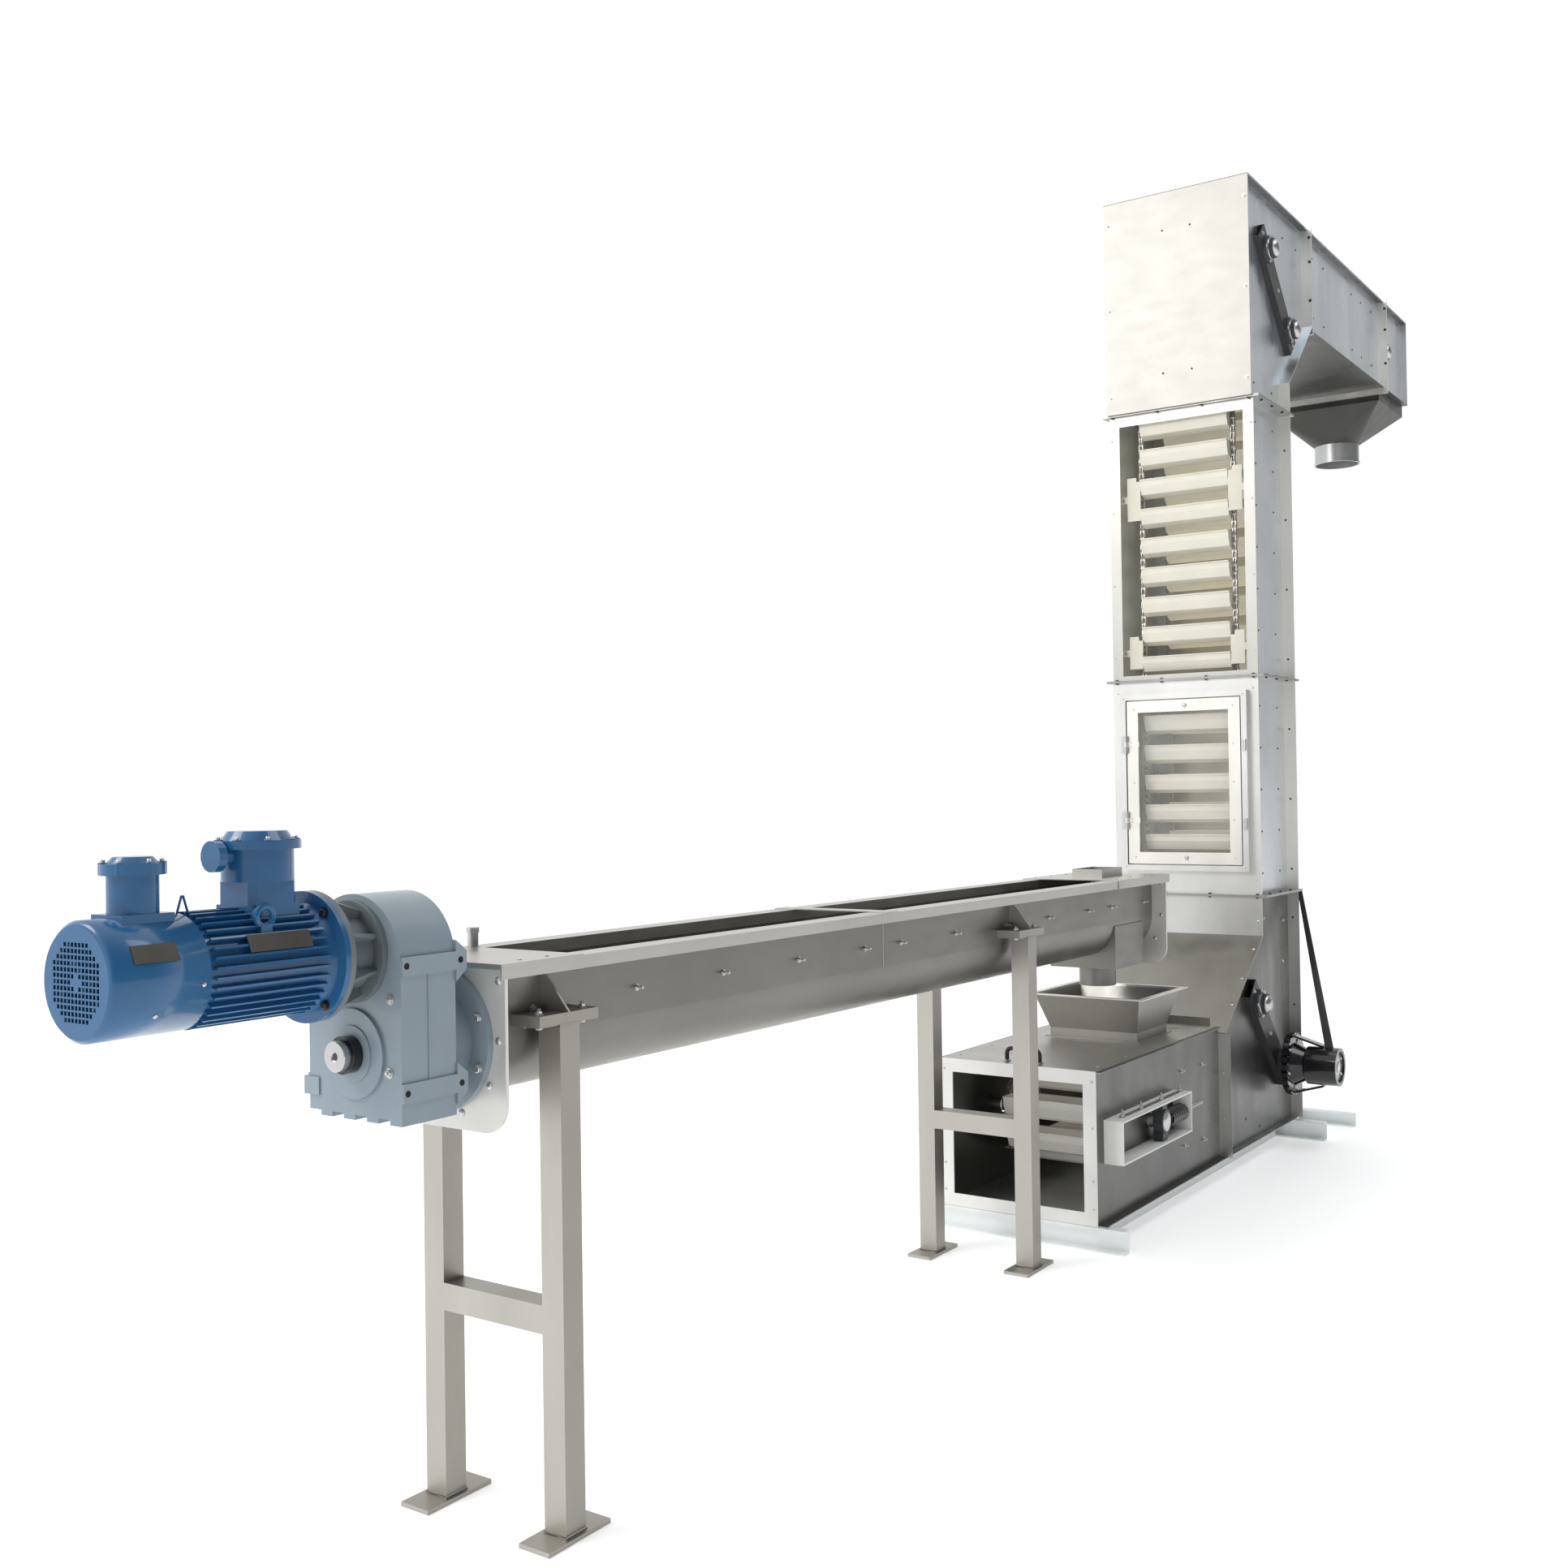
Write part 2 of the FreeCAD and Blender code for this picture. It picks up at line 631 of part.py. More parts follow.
HINGE_X = FRONT_X - RING_D - HINGE_KNUCKLE_R
HINGE_Y = DOOR_W / 2 + DOOR_GAP / 2
HINGE_LOW_Z = DOOR_LOW_Z + HINGE_INSET
HINGE_HIGH_Z = DOOR_LOW_Z + DOOR_H - HINGE_INSET - HINGE_LENGTH


def build_door():
    x1 = FRONT_X - DOOR_GAP
    x0 = x1 - DOOR_T
    half = DOOR_W / 2
    z1 = DOOR_LOW_Z + DOOR_H
    leaf = box(x0, x1, -half, half, DOOR_LOW_Z, z1)
    light = box(x0 - 1, x1 + 1, -half + DOOR_BORDER, half - DOOR_BORDER, DOOR_LOW_Z + DOOR_BORDER, z1 - DOOR_BORDER)
    rebate = box(x0 + DOOR_T / 2, x1 + 1, -half + DOOR_BORDER / 2, half - DOOR_BORDER / 2,
                 DOOR_LOW_Z + DOOR_BORDER / 2, z1 - DOOR_BORDER / 2)
    leaf = leaf.cut(light).cut(rebate)
    moving = [leaf]
    fixed = []
    third = HINGE_LENGTH / 3
    for z in (HINGE_LOW_Z, HINGE_HIGH_Z):
        knuckle = bar_z(HINGE_X, HINGE_Y, z + third + 1, z + 2 * third - 1, HINGE_KNUCKLE_R)
        strap = box(x0 - SHEET, x0, half - DOOR_BORDER / 2 - FLANGE_W, half - SHEET, z + third + 1, z + 2 * third - 1)
        web = box(HINGE_X, x0, HINGE_Y - HINGE_KNUCKLE_R, half - SHEET, z + third + 1, z + 2 * third - 1)
        middle = fuse([knuckle, strap, web])
        middle = middle.cut(cyl_z(HINGE_X, HINGE_Y, z, z + HINGE_LENGTH, HINGE_PIN_R + HINGE_RUNNING_GAP))
        moving.append(middle)
        ring_face = FRONT_X - RING_D
        plate_y = HINGE_Y + HINGE_KNUCKLE_R + 2
        plate = box(ring_face - SHEET, ring_face, plate_y, HINGE_Y + RING_W, z, z + HINGE_LENGTH)
        pieces = [plate, cyl_z(HINGE_X, HINGE_Y, z, z + HINGE_LENGTH, HINGE_PIN_R)]
        for z0 in (z, z + 2 * third):
            pieces.append(bar_z(HINGE_X, HINGE_Y, z0, z0 + third, HINGE_KNUCKLE_R))
            pieces.append(box(HINGE_X, ring_face, HINGE_Y, HINGE_Y + HINGE_KNUCKLE_R + DOOR_GAP, z0, z0 + third))
        fixed.append(fuse(pieces))
    node("inspection_door", fuse(moving))
    pane = box(x1 - DOOR_T / 2, x1 - DOOR_T / 2 + PANE_T, -half + DOOR_BORDER / 2, half - DOOR_BORDER / 2,
               DOOR_LOW_Z + DOOR_BORDER / 2, z1 - DOOR_BORDER / 2)
    node("door_pane", pane)
    for z in (HINGE_LOW_Z, HINGE_HIGH_Z):
        y = -half - DOOR_GAP
        catch = box(FRONT_X - RING_D - CATCH_T, FRONT_X - RING_D, y - RING_W + CATCH_INSET, y - CATCH_INSET,
                    z, z + CATCH_H)
        fixed.append(catch)
    node("door_fittings", *fixed)


# Head and discharge arm

def head_outline(inset):
    """Side view of the head, from the tower joint round by the rear slope to the arm joint."""
    z0 = HEAD_JOINT_Z + FLANGE_T
    slope_inset = inset * 1.3
    return [
        (HEAD_FRONT_X + inset, z0), (REAR_X - inset, z0), (REAR_X - inset, HEAD_SLOPE_Z + inset / 2),
        (HEAD_X - FLANGE_T, ARM_BOTTOM_Z + slope_inset), (HEAD_X - FLANGE_T, HEAD_TOP_Z - inset),
        (HEAD_FRONT_X + inset, HEAD_TOP_Z - inset),
    ]


def build_head():
    outer = head_outline(SHEET)
    inner = head_outline(SHEET + LIP_T)
    side = prism_y(outer, -WALL_HALF, -WALL_IN)
    for x, z in (HEAD_LOW_WHEEL, HEAD_TOP_WHEEL):
        side = side.cut(bar_y(x, z, -WALL_HALF - 1, -WALL_IN + 1, SHAFT_R + DOOR_GAP))
    rear_lip = prism_y(outer[1:4] + inner[3:0:-1], -REAR_HALF, -WALL_HALF)
    front_lip = prism_y([outer[4], outer[5], outer[0], inner[0], inner[5], inner[4]], -PLATE_HALF, -WALL_HALF)
    node("head_sides", *both_sides(fuse([side, rear_lip, front_lip])))
    z0 = HEAD_JOINT_Z + FLANGE_T
    front = box(HEAD_FRONT_X, HEAD_FRONT_X + SHEET, -PLATE_HALF, PLATE_HALF, z0, HEAD_TOP_Z - SHEET)
    sill = box(HEAD_FRONT_X, FRONT_X - JOINT_AHEAD, -PLATE_HALF, PLATE_HALF, z0 - SHEET, z0)
    node("head_front", fuse([front, sill]))
    slope = head_outline(0)[2:4] + outer[3:1:-1]
    node("head_slope_plate", prism_y(slope, -REAR_HALF, REAR_HALF))

    z1 = HEAD_TOP_Z - SHEET
    spans = ((HEAD_FRONT_X, HEAD_X - FLANGE_T), (HEAD_X + FLANGE_T, ARM_X - FLANGE_T), (ARM_X + FLANGE_T, END_X))
    node("top_plates", *[box(x0, x1, -PLATE_HALF, PLATE_HALF, z1, HEAD_TOP_Z) for x0, x1 in spans])
    low = ARM_BOTTOM_Z + SHEET
    node("arm_sides", *both_sides(arm_wall(HEAD_X + FLANGE_T, ARM_X - FLANGE_T, low, z1)))
    end_wall = arm_wall(ARM_X + FLANGE_T, END_X - SHEET, low, z1)
    hole = bar_y(END_WHEEL[0], END_WHEEL[1], -WALL_HALF - 1, -WALL_IN + 1, SHAFT_R + DOOR_GAP)
    node("end_sides", *both_sides(end_wall.cut(hole)))
    node("end_plate", box(END_X - SHEET, END_X, -PLATE_HALF, PLATE_HALF, ARM_BOTTOM_Z, z1))
    arm_floor = box(HEAD_X + FLANGE_T, ARM_X - FLANGE_T, -PLATE_HALF, PLATE_HALF, ARM_BOTTOM_Z, low)
    x0 = ARM_X + FLANGE_T
    edge = box(x0, END_X - SHEET, -PLATE_HALF, PLATE_HALF, ARM_BOTTOM_Z, low)
    edge = edge.cut(box(x0 + FLANGE_W, END_X - SHEET - FLANGE_W, -WALL_IN, WALL_IN, ARM_BOTTOM_Z - 1, low + 1))
    node("arm_floor", arm_floor, edge)


def arm_wall(x0, x1, z0, z1):
    """One side wall of the arm with a lip under the top plate."""
    wall = box(x0, x1, -WALL_HALF, -WALL_IN, z0, z1)
    lip = box(x0, x1, -PLATE_HALF, -WALL_HALF, z1 - LIP_T, z1)
    return fuse([wall, lip])


def chute_solid(x0, x1, y, z1, radius, z0):
    """A solid that goes from a rectangle at the top to a circle of short sides at the bottom."""
    mid = (x0 + x1) / 2
    corners = OUTLET_SIDES
    pts = [V(x0, -y, z1), V(x1, -y, z1), V(x1, y, z1), V(x0, y, z1)]
    low = []
    for i in range(corners):
        angle = 2 * math.pi * (i + 0.5) / corners
        low.append(V(mid + radius * math.cos(angle), radius * math.sin(angle), z0))
    faces = []
    for i in range(corners):
        here = nearest(pts, (low[i - 1] + low[i]) * 0.5)
        after = nearest(pts, (low[i] + low[(i + 1) % corners]) * 0.5)
        faces.append(Part.Face(Part.makePolygon([low[i - 1], low[i], here, low[i - 1]])))
        if here != after:
            faces.append(Part.Face(Part.makePolygon([low[i], here, after, low[i]])))
    faces.append(Part.Face(Part.makePolygon(pts + [pts[0]])))
    faces.append(Part.Face(Part.makePolygon(low + [low[0]])))
    return Part.makeSolid(Part.makeShell(faces))


def build_chute():
    """Square-to-round hopper under the end of the arm, with its outlet ring."""
    x0 = ARM_X + FLANGE_T
    x1 = END_X
    mid = (x0 + x1) / 2
    top = ARM_BOTTOM_Z
    z1 = top - CHUTE_COLLAR
    z0 = z1 - CHUTE_DROP
    y = WALL_HALF
    collar = box(x0, x1, -y, y, z1, top).cut(box(x0 + SHEET, x1 - SHEET, -y + SHEET, y - SHEET, z1 - 1, top + 1))
    funnel = chute_solid(x0, x1, y, z1, OUTLET_RING_R, z0)
    hollow = chute_solid(x0 + SHEET, x1 - SHEET, y - SHEET, z1, OUTLET_RING_R - SHEET, z0)
    node("discharge_chute", fuse([collar, funnel.cut(hollow)]))
    low = z0 - OUTLET_RING_H
    ring = cyl_z(mid, 0, low, z0, OUTLET_RING_R)
    bead = cyl_z(mid, 0, low, low + 2 * OUTLET_BEAD, OUTLET_RING_R + OUTLET_BEAD)
    bore = cyl_z(mid, 0, low - 1, z0 + 1, OUTLET_RING_R - OUTLET_RING_T)
    node("discharge_outlet", fuse([ring, bead]).cut(bore))


def nearest(points, target):
    return min(points, key=lambda p: ((p.x - target.x) ** 2 + (p.y - target.y) ** 2))


# Bucket line

def line_runs():
    """The closed route of the chain as straight runs and quarter or half turns."""
    r = WHEEL_R
    (tx, tz), (bx, bz), (hx, hz), (ex, ez), (kx, kz), (cx, cz) = ALL_WHEELS
    return [
        ("run", (tx, tz - r), (bx, bz - r)),
        ("turn", (bx, bz), -90, 90),
        ("run", (bx + r, bz), (hx - r, hz)),
        ("turn", (hx, hz), 180, -90),
        ("run", (hx, hz + r), (ex, ez - r)),
        ("turn", (ex, ez), -90, 180),
        ("run", (ex, ez + r), (kx, kz + r)),
        ("turn", (kx, kz), 90, 90),
        ("run", (kx - r, kz), (cx + r, cz)),
        ("turn", (cx, cz), 0, -90),
        ("run", (cx, cz - r), (tx, tz + r)),
        ("turn", (tx, tz), 90, 180),
    ]


def run_length(run):
    if run[0] == "run":
        return math.dist(run[1], run[2])
    return WHEEL_R * math.radians(abs(run[3]))


def point_on_turn(run, share, radius):
    angle = math.radians(run[2] + run[3] * share)
    return (run[1][0] + radius * math.cos(angle), run[1][1] + radius * math.sin(angle))


def point_on_line(distance):
    for run in line_runs():
        length = run_length(run)
        if distance <= length:
            share = distance / length
            if run[0] == "run":
                return (run[1][0] + share * (run[2][0] - run[1][0]), run[1][1] + share * (run[2][1] - run[1][1]))
            return point_on_turn(run, share, WHEEL_R)
        distance -= length
    return point_on_line(0)


def route_wire(offset, y):
    """The chain's route, shifted sideways by an offset, as a closed wire of lines and arcs."""
    edges = []
    for run in line_runs():
        if run[0] == "run":
            (x0, z0), (x1, z1) = run[1], run[2]
            length = run_length(run)
            nx = -(z1 - z0) / length * offset
            nz = (x1 - x0) / length * offset
            edges.append(Part.LineSegment(V(x0 + nx, y, z0 + nz), V(x1 + nx, y, z1 + nz)).toShape())
        else:
            radius = WHEEL_R - offset if run[3] > 0 else WHEEL_R + offset
            pts = [point_on_turn(run, share, radius) for share in (0, 0.5, 1)]
            edges.append(Part.Arc(*[V(px, y, pz) for px, pz in pts]).toShape())
    return Part.Wire(edges)


def build_chains():
    y = -BUCKET_HALF - CHAIN_W
    band = Part.Face([route_wire(-CHAIN_H / 2, y), route_wire(CHAIN_H / 2, y)])
    chain = band.extrude(V(0, CHAIN_W, 0))
    node("carrying_chains", *both_sides(chain))


def trough_curve(width, depth):
    """Half-round bottom of a bucket as (x, z) from left to right."""
    radius = width / 2
    centre = BUCKET_ABOVE - depth + radius
    turns = [math.pi + math.pi * i / BUCKET_FACETS for i in range(BUCKET_FACETS + 1)]
    return [(radius * math.cos(turn), centre + radius * math.sin(turn)) for turn in turns]


def bucket():
    """An open trough with a lip along both long edges and a wall at both ends."""
    edge = BUCKET_W / 2
    lip = edge + BUCKET_LIP
    under = BUCKET_ABOVE - BUCKET_LIP_T
    outline = [(-lip, BUCKET_ABOVE), (-lip, under), (-edge, under)] + trough_curve(BUCKET_W, BUCKET_DEPTH)
    outline += [(edge, under), (lip, under), (lip, BUCKET_ABOVE)]
    inner_edge = edge - BUCKET_WALL
    inner = [(-inner_edge, BUCKET_ABOVE + 1)] + trough_curve(2 * inner_edge, BUCKET_DEPTH - BUCKET_WALL)
    inner += [(inner_edge, BUCKET_ABOVE + 1)]
    hollow = prism_y(inner, -BUCKET_HALF + BUCKET_WALL, BUCKET_HALF - BUCKET_WALL)
    return prism_y(outline, -BUCKET_HALF, BUCKET_HALF).cut(hollow)


def build_buckets():
    total = sum(run_length(run) for run in line_runs())
    count = int(round(total / BUCKET_PITCH))
    pitch = total / count
    hollow = bucket()
    groups = {"inlet_buckets": [], "front_strand_buckets": [], "rear_strand_buckets": [], "head_buckets": []}
    for i in range(count):
        x, z = point_on_line(i * pitch)
        if z > ARM_BOTTOM_Z:
            name = "head_buckets"
        elif z < BOOT_TOP_WHEEL[1]:
            name = "inlet_buckets"
        elif x < (FRONT_STRAND_X + REAR_STRAND_X) / 2:
            name = "front_strand_buckets"
        else:
            name = "rear_strand_buckets"
        groups[name].append(hollow.translated(V(x, 0, z)))
    for name, shapes in groups.items():
        node(name, *shapes)


def toothed_disc(radius, teeth, height, y0, y1):
    points = []
    for i in range(teeth):
        for shift, r in ((-0.25, radius), (0.25, radius), (0.5, radius - height)):
            angle = 2 * math.pi * (i + shift) / teeth
            points.append((r * math.cos(angle), r * math.sin(angle)))
    return prism_y(points, y0, y1)


def build_shafts():
    y_wheel = BUCKET_HALF + CHAIN_W / 2
    inner_r = WHEEL_R - CHAIN_H / 2 - CHAIN_PLAY
    shafts = []
    for index, (x, z) in enumerate(ALL_WHEELS):
        reach = shaft_reach(index)
        pieces = [cyl_y(x, z, -reach[0], reach[1], SHAFT_R)]
        for side in (-1, 1):
            y0 = side * y_wheel - WHEEL_T / 2
            if index in (0, 3):
                disc = toothed_disc(inner_r, WHEEL_TEETH, TOOTH_H, y0, y0 + WHEEL_T).translated(V(x, 0, z))
            else:
                disc = bar_y(x, z, y0, y0 + WHEEL_T, inner_r, 2 * ROUND_SIDES)
            pieces.append(disc)
            pieces.append(bar_y(x, z, y0 - WHEEL_T, y0 + 2 * WHEEL_T, HUB_R))
        shafts.append(fuse(pieces))
    node("wheel_shafts", *shafts)


def bearing_base(index):
    """How far out from the centre plane a shaft's bearings start."""
    if index == 0:
        return WALL_HALF + TAKEUP_D / 3
    if index == 3:
        return WALL_HALF
    return WALL_HALF + BEAM_D


def shaft_reach(index):
    reach = bearing_base(index) + BEARING_L - 5
    if index == 1:
        return (reach + DRIVE_SPROCKET_T + DRIVE_HUB_L / 2, reach)
    return (reach, reach)


def flange_bearing(x, z, y_base):
    """A flanged bearing on the right-hand side whose flange sits at y_base."""
    flange = cyl_y(x, z, -y_base - BEARING_FLANGE_T, -y_base, BEARING_FLANGE_R)
    body = cyl_y(x, z, -y_base - BEARING_L, -y_base, BEARING_R)
    return fuse([flange, body]).cut(cyl_y(x, z, -y_base - BEARING_L - 1, -y_base + 1, SHAFT_R + BORE_GAP))


def build_bearings():
    bearings = []
    for index, (x, z) in enumerate(ALL_WHEELS):
        if index:
            bearings.extend(both_sides(flange_bearing(x, z, bearing_base(index))))
    node("flange_bearings", *bearings)
    beams = []
    for low, high in ((BOOT_LOW_WHEEL, BOOT_TOP_WHEEL), (HEAD_LOW_WHEEL, HEAD_TOP_WHEEL)):
        beams.extend(both_sides(bearing_beam(low, high)))
    node("bearing_beams", *beams)


def bearing_beam(low, high):
    """A channel set on the slant under two bearings, open towards the casing."""
    dx = high[0] - low[0]
    dz = high[1] - low[1]
    span = math.hypot(dx, dz)
    length = span + 2 * BEAM_OVERHANG
    half = BEAM_W / 2
    y0 = -WALL_HALF - BEAM_D
    body = box(-BEAM_OVERHANG, length - BEAM_OVERHANG, y0, -WALL_HALF, -half, half)
    hollow = box(-BEAM_OVERHANG - 1, length, y0 + BEAM_T, -WALL_HALF + 1, -half + BEAM_T, half - BEAM_T)
    beam = body.cut(hollow)
    for along in (0, span):
        beam = beam.cut(bar_y(along, 0, y0 - 1, -WALL_HALF, SHAFT_R + DOOR_GAP))
    beam.rotate(V(0, 0, 0), Y_AXIS, -math.degrees(math.atan2(dz, dx)))
    beam.translate(V(low[0], 0, low[1]))
    return beam


# Take-up units

def build_takeups():
    x0 = TAIL_X - TAKEUP_AHEAD
    x1 = x0 + TAKEUP_L
    z0 = TAIL_Z - TAKEUP_H / 2
    z1 = TAIL_Z + TAKEUP_H / 2
    y0 = -WALL_HALF - TAKEUP_D
    frame = box(x0, x1, y0, -WALL_HALF, z0, z1)
    frame = frame.cut(box(x0 + TAKEUP_T, x1 - TAKEUP_T, y0 - 1, -WALL_HALF + 1, z0 + TAKEUP_T, z1 - TAKEUP_T))
    y_mid = -WALL_HALF - TAKEUP_D / 2
    rod_hole = bar_x(x1 - TAKEUP_T - 1, x1 + 1, y_mid, TAIL_Z, TAKEUP_ROD_R, 8)
    node("takeup_frames", *both_sides(frame.cut(rod_hole)))

    housing = bar_y(TAIL_X, TAIL_Z, -bearing_base(0) - BEARING_L, -bearing_base(0), BEARING_R)
    guide = box(TAIL_X - BEARING_R / 2, TAIL_X + BEARING_R / 2, y_mid - BEARING_L / 2, y_mid + BEARING_L / 2,
                z0 + TAKEUP_T, z1 - TAKEUP_T)
    boss = bar_x(TAIL_X, TAIL_X + BEARING_R + TAKEUP_BOSS_L, y_mid, TAIL_Z, SPRING_R / 2)
    rod = bar_x(TAIL_X, x1 + TAKEUP_ROD_OUT, y_mid, TAIL_Z, TAKEUP_ROD_R - 2 * BORE_GAP, 8)
    unit = fuse([housing, guide, boss, rod])
    unit = unit.cut(bar_y(TAIL_X, TAIL_Z, -WALL_HALF - TAKEUP_D, -WALL_HALF, SHAFT_R + BORE_GAP))
    node("takeup_bearings", *both_sides(unit))

    start = TAIL_X + BEARING_R + TAKEUP_BOSS_L + SEAT_GAP
    pitch = (x1 - TAKEUP_T - SEAT_GAP - start - 2 * SPRING_WIRE_R) / SPRING_TURNS
    coil_r = SPRING_R - SPRING_WIRE_R
    w = SPRING_WIRE_R
    section = [(coil_r - w, w), (coil_r, 0), (coil_r + w, w), (coil_r, 2 * w)]
    spring = helix(section, pitch, SPRING_TURNS * SPRING_FACETS, SPRING_FACETS)
    node("takeup_springs", *both_sides(spring.translated(V(start, y_mid, TAIL_Z))))


# Drive on the lower boot shaft, right-hand side

def build_drive():
    x, z = BOOT_LOW_WHEEL
    y1 = -bearing_base(1) - BEARING_L
    y0 = y1 - DRIVE_SPROCKET_T
    wheel = toothed_disc(DRIVE_SPROCKET_R, DRIVE_TEETH, TOOTH_H, y0, y1).translated(V(x, 0, z))
    cone = Part.makeCone(DRIVE_CAN_R * 0.8, DRIVE_HUB_R, DRIVE_HUB_L, V(x, y0 - DRIVE_HUB_L, z), Y_AXIS)
    shaft_pocket = bar_y(x, z, -shaft_reach(1)[0], y1 + 1, SHAFT_R + BORE_GAP)
    node("drive_sprocket", fuse([wheel, cone]).cut(shaft_pocket))
    y2 = y0 - DRIVE_HUB_L
    can = cyl_y(x, z, y2 - DRIVE_CAN_L, y2, DRIVE_CAN_R)
    recess = cyl_y(x, z, y2 - DRIVE_CAN_L - 1, y2 - DRIVE_CAN_L + 12, DRIVE_CAN_R - 16)
    pieces = [can]
    for side in (-1, 1):
        root = side * (DRIVE_CAN_R - 2)
        top = side * (DRIVE_SPROCKET_R - 2 * TOOTH_H)
        thick = side * DRIVE_ARM_T
        outline = [
            (y2 - DRIVE_CAN_L / 2, z + root), (y0 - SEAT_GAP, z + top), (y0 - SEAT_GAP, z + top + thick),
            (y2 - DRIVE_CAN_L / 2, z + root + thick),
        ]
        pieces.append(prism_x(outline, x - DRIVE_ARM_W / 2, x + DRIVE_ARM_W / 2))
    housing = fuse(pieces).cut(recess)
    node("drive_can", housing)

    top = (REAR_X + JOINT_BEHIND / 2, -JOINT_HALF + JOINT_LIP / 8, BOOT_JOINT_Z - FLANGE_T)
    foot = (x, y2 - DRIVE_CAN_L / 2 - DRIVE_ARM_W / 2, z + DRIVE_CAN_R - DRIVE_ARM_T)
    strap = []
    for (px, py, pz), width in ((top, STAY_TOP_W), (foot, STAY_FOOT_W)):
        a, b = STAY_T / 2, width / 2
        strap.append([V(px - a, py - b, pz), V(px + a, py - b, pz), V(px + a, py + b, pz), V(px - a, py + b, pz)])
    node("stay_cable", solid_between(strap).cut(housing))


# Chain guides

def build_guides():
    guides = []
    for rise, height in GUIDE_PLACES:
        z = DOOR_JOINT_Z + rise
        plate = box(GUIDE_X, GUIDE_X + LIP_T, -GUIDE_Y1, -GUIDE_Y0, z, z + height)
        notch = box(GUIDE_X - 1, GUIDE_X + LIP_T + 1, -GUIDE_Y0 - GUIDE_NOTCH, -GUIDE_Y0 + 1,
                    z + height - GUIDE_NOTCH, z + height + 1)
        mid = z + height / 2
        arm = box(GUIDE_X, GUIDE_X + LIP_T, -WALL_IN, -GUIDE_Y1, mid - FLANGE_W / 2, mid + FLANGE_W / 2)
        guides.extend(both_sides(fuse([plate.cut(notch), arm])))
    z = INLET_LOW_STRAND_Z - CHAIN_H / 2 - RAIL_H
    y1 = -BUCKET_HALF - CHAIN_W - LIP_T
    rail = box(TAIL_X, BOOT_X, y1, -BUCKET_HALF, z, z + RAIL_H)
    arm = box(TAIL_X, BOOT_X, -WALL_IN, y1, z, z + LIP_T)
    guides.extend(both_sides(fuse([rail, arm])))
    node("chain_guides", *guides)


# Conveyor

def build_trough():
    x0 = NEAR_PLATE_X
    x1 = FAR_PLATE_X
    outer = cyl_x(x0, x1, 0, SCREW_Z, TROUGH_R)
    upper = box(x0, x1, -TROUGH_R, TROUGH_R, SCREW_Z, TROUGH_TOP_Z)
    inner_r = TROUGH_R - TROUGH_SHEET
    shell = fuse([outer, upper])
    shell = shell.cut(cyl_x(x0 - 1, x1 + 1, 0, SCREW_Z, inner_r))
    shell = shell.cut(box(x0 - 1, x1 + 1, -inner_r, inner_r, SCREW_Z, TROUGH_TOP_Z + 1))
    rim = box(x0, x1, -TROUGH_RIM_HALF, -inner_r, TROUGH_TOP_Z - TROUGH_SHEET, TROUGH_TOP_Z)
    lip = box(x0, x1, -TROUGH_RIM_HALF, -TROUGH_RIM_HALF + TROUGH_SHEET, TROUGH_TOP_Z - TROUGH_RIM_DROP,
              TROUGH_TOP_Z)
    side = fuse([rim, lip])
    hole = box(OUTLET_X0 + SHEET, OUTLET_X1 - SHEET, -OUTLET_HALF / 2, OUTLET_HALF / 2,
               SCREW_Z - TROUGH_R - 1, SCREW_Z)
    trough = fuse([shell] + both_sides(side)).cut(hole)
    node("trough", trough)


def end_plate_outline():
    r = END_PLATE_CORNER_R
    half = END_PLATE_HALF
    low = END_PLATE_LOW_Z
    top = TROUGH_TOP_Z
    k = math.sqrt(0.5)
    return [
        Part.LineSegment(V(0, half - r, low), V(0, -half + r, low)),
        Part.Arc(V(0, -half + r, low), V(0, -half + r - r * k, low + r - r * k), V(0, -half, low + r)),
        Part.LineSegment(V(0, -half, low + r), V(0, -half, top)),
        Part.LineSegment(V(0, -half, top), V(0, half, top)),
        Part.LineSegment(V(0, half, top), V(0, half, low + r)),
        Part.Arc(V(0, half, low + r), V(0, half - r + r * k, low + r - r * k), V(0, half - r, low)),
    ]


def build_end_plates():
    face = Part.Face(Part.Wire([edge.toShape() for edge in end_plate_outline()]))
    plate = face.extrude(V(END_PLATE_T, 0, 0))
    bore = cyl_x(-1, END_PLATE_T + 1, 0, SCREW_Z, SCREW_SHAFT_R + HINGE_RUNNING_GAP)
    plate = plate.cut(bore)
    near = plate.translated(V(NEAR_PLATE_X - END_PLATE_T, 0, 0))
    far = plate.translated(V(FAR_PLATE_X, 0, 0))
    node("trough_end_plates", near, far)


def cover(x0, x1):
    half = TROUGH_RIM_HALF + COVER_T
    z0 = TROUGH_TOP_Z
    plate = box(x0, x1, -half, half, z0, z0 + COVER_T)
    lip = box(x0, x1, -half, -half + COVER_T, z0 - TROUGH_RIM_DROP, z0 + COVER_T)
    return [plate] + both_sides(lip)


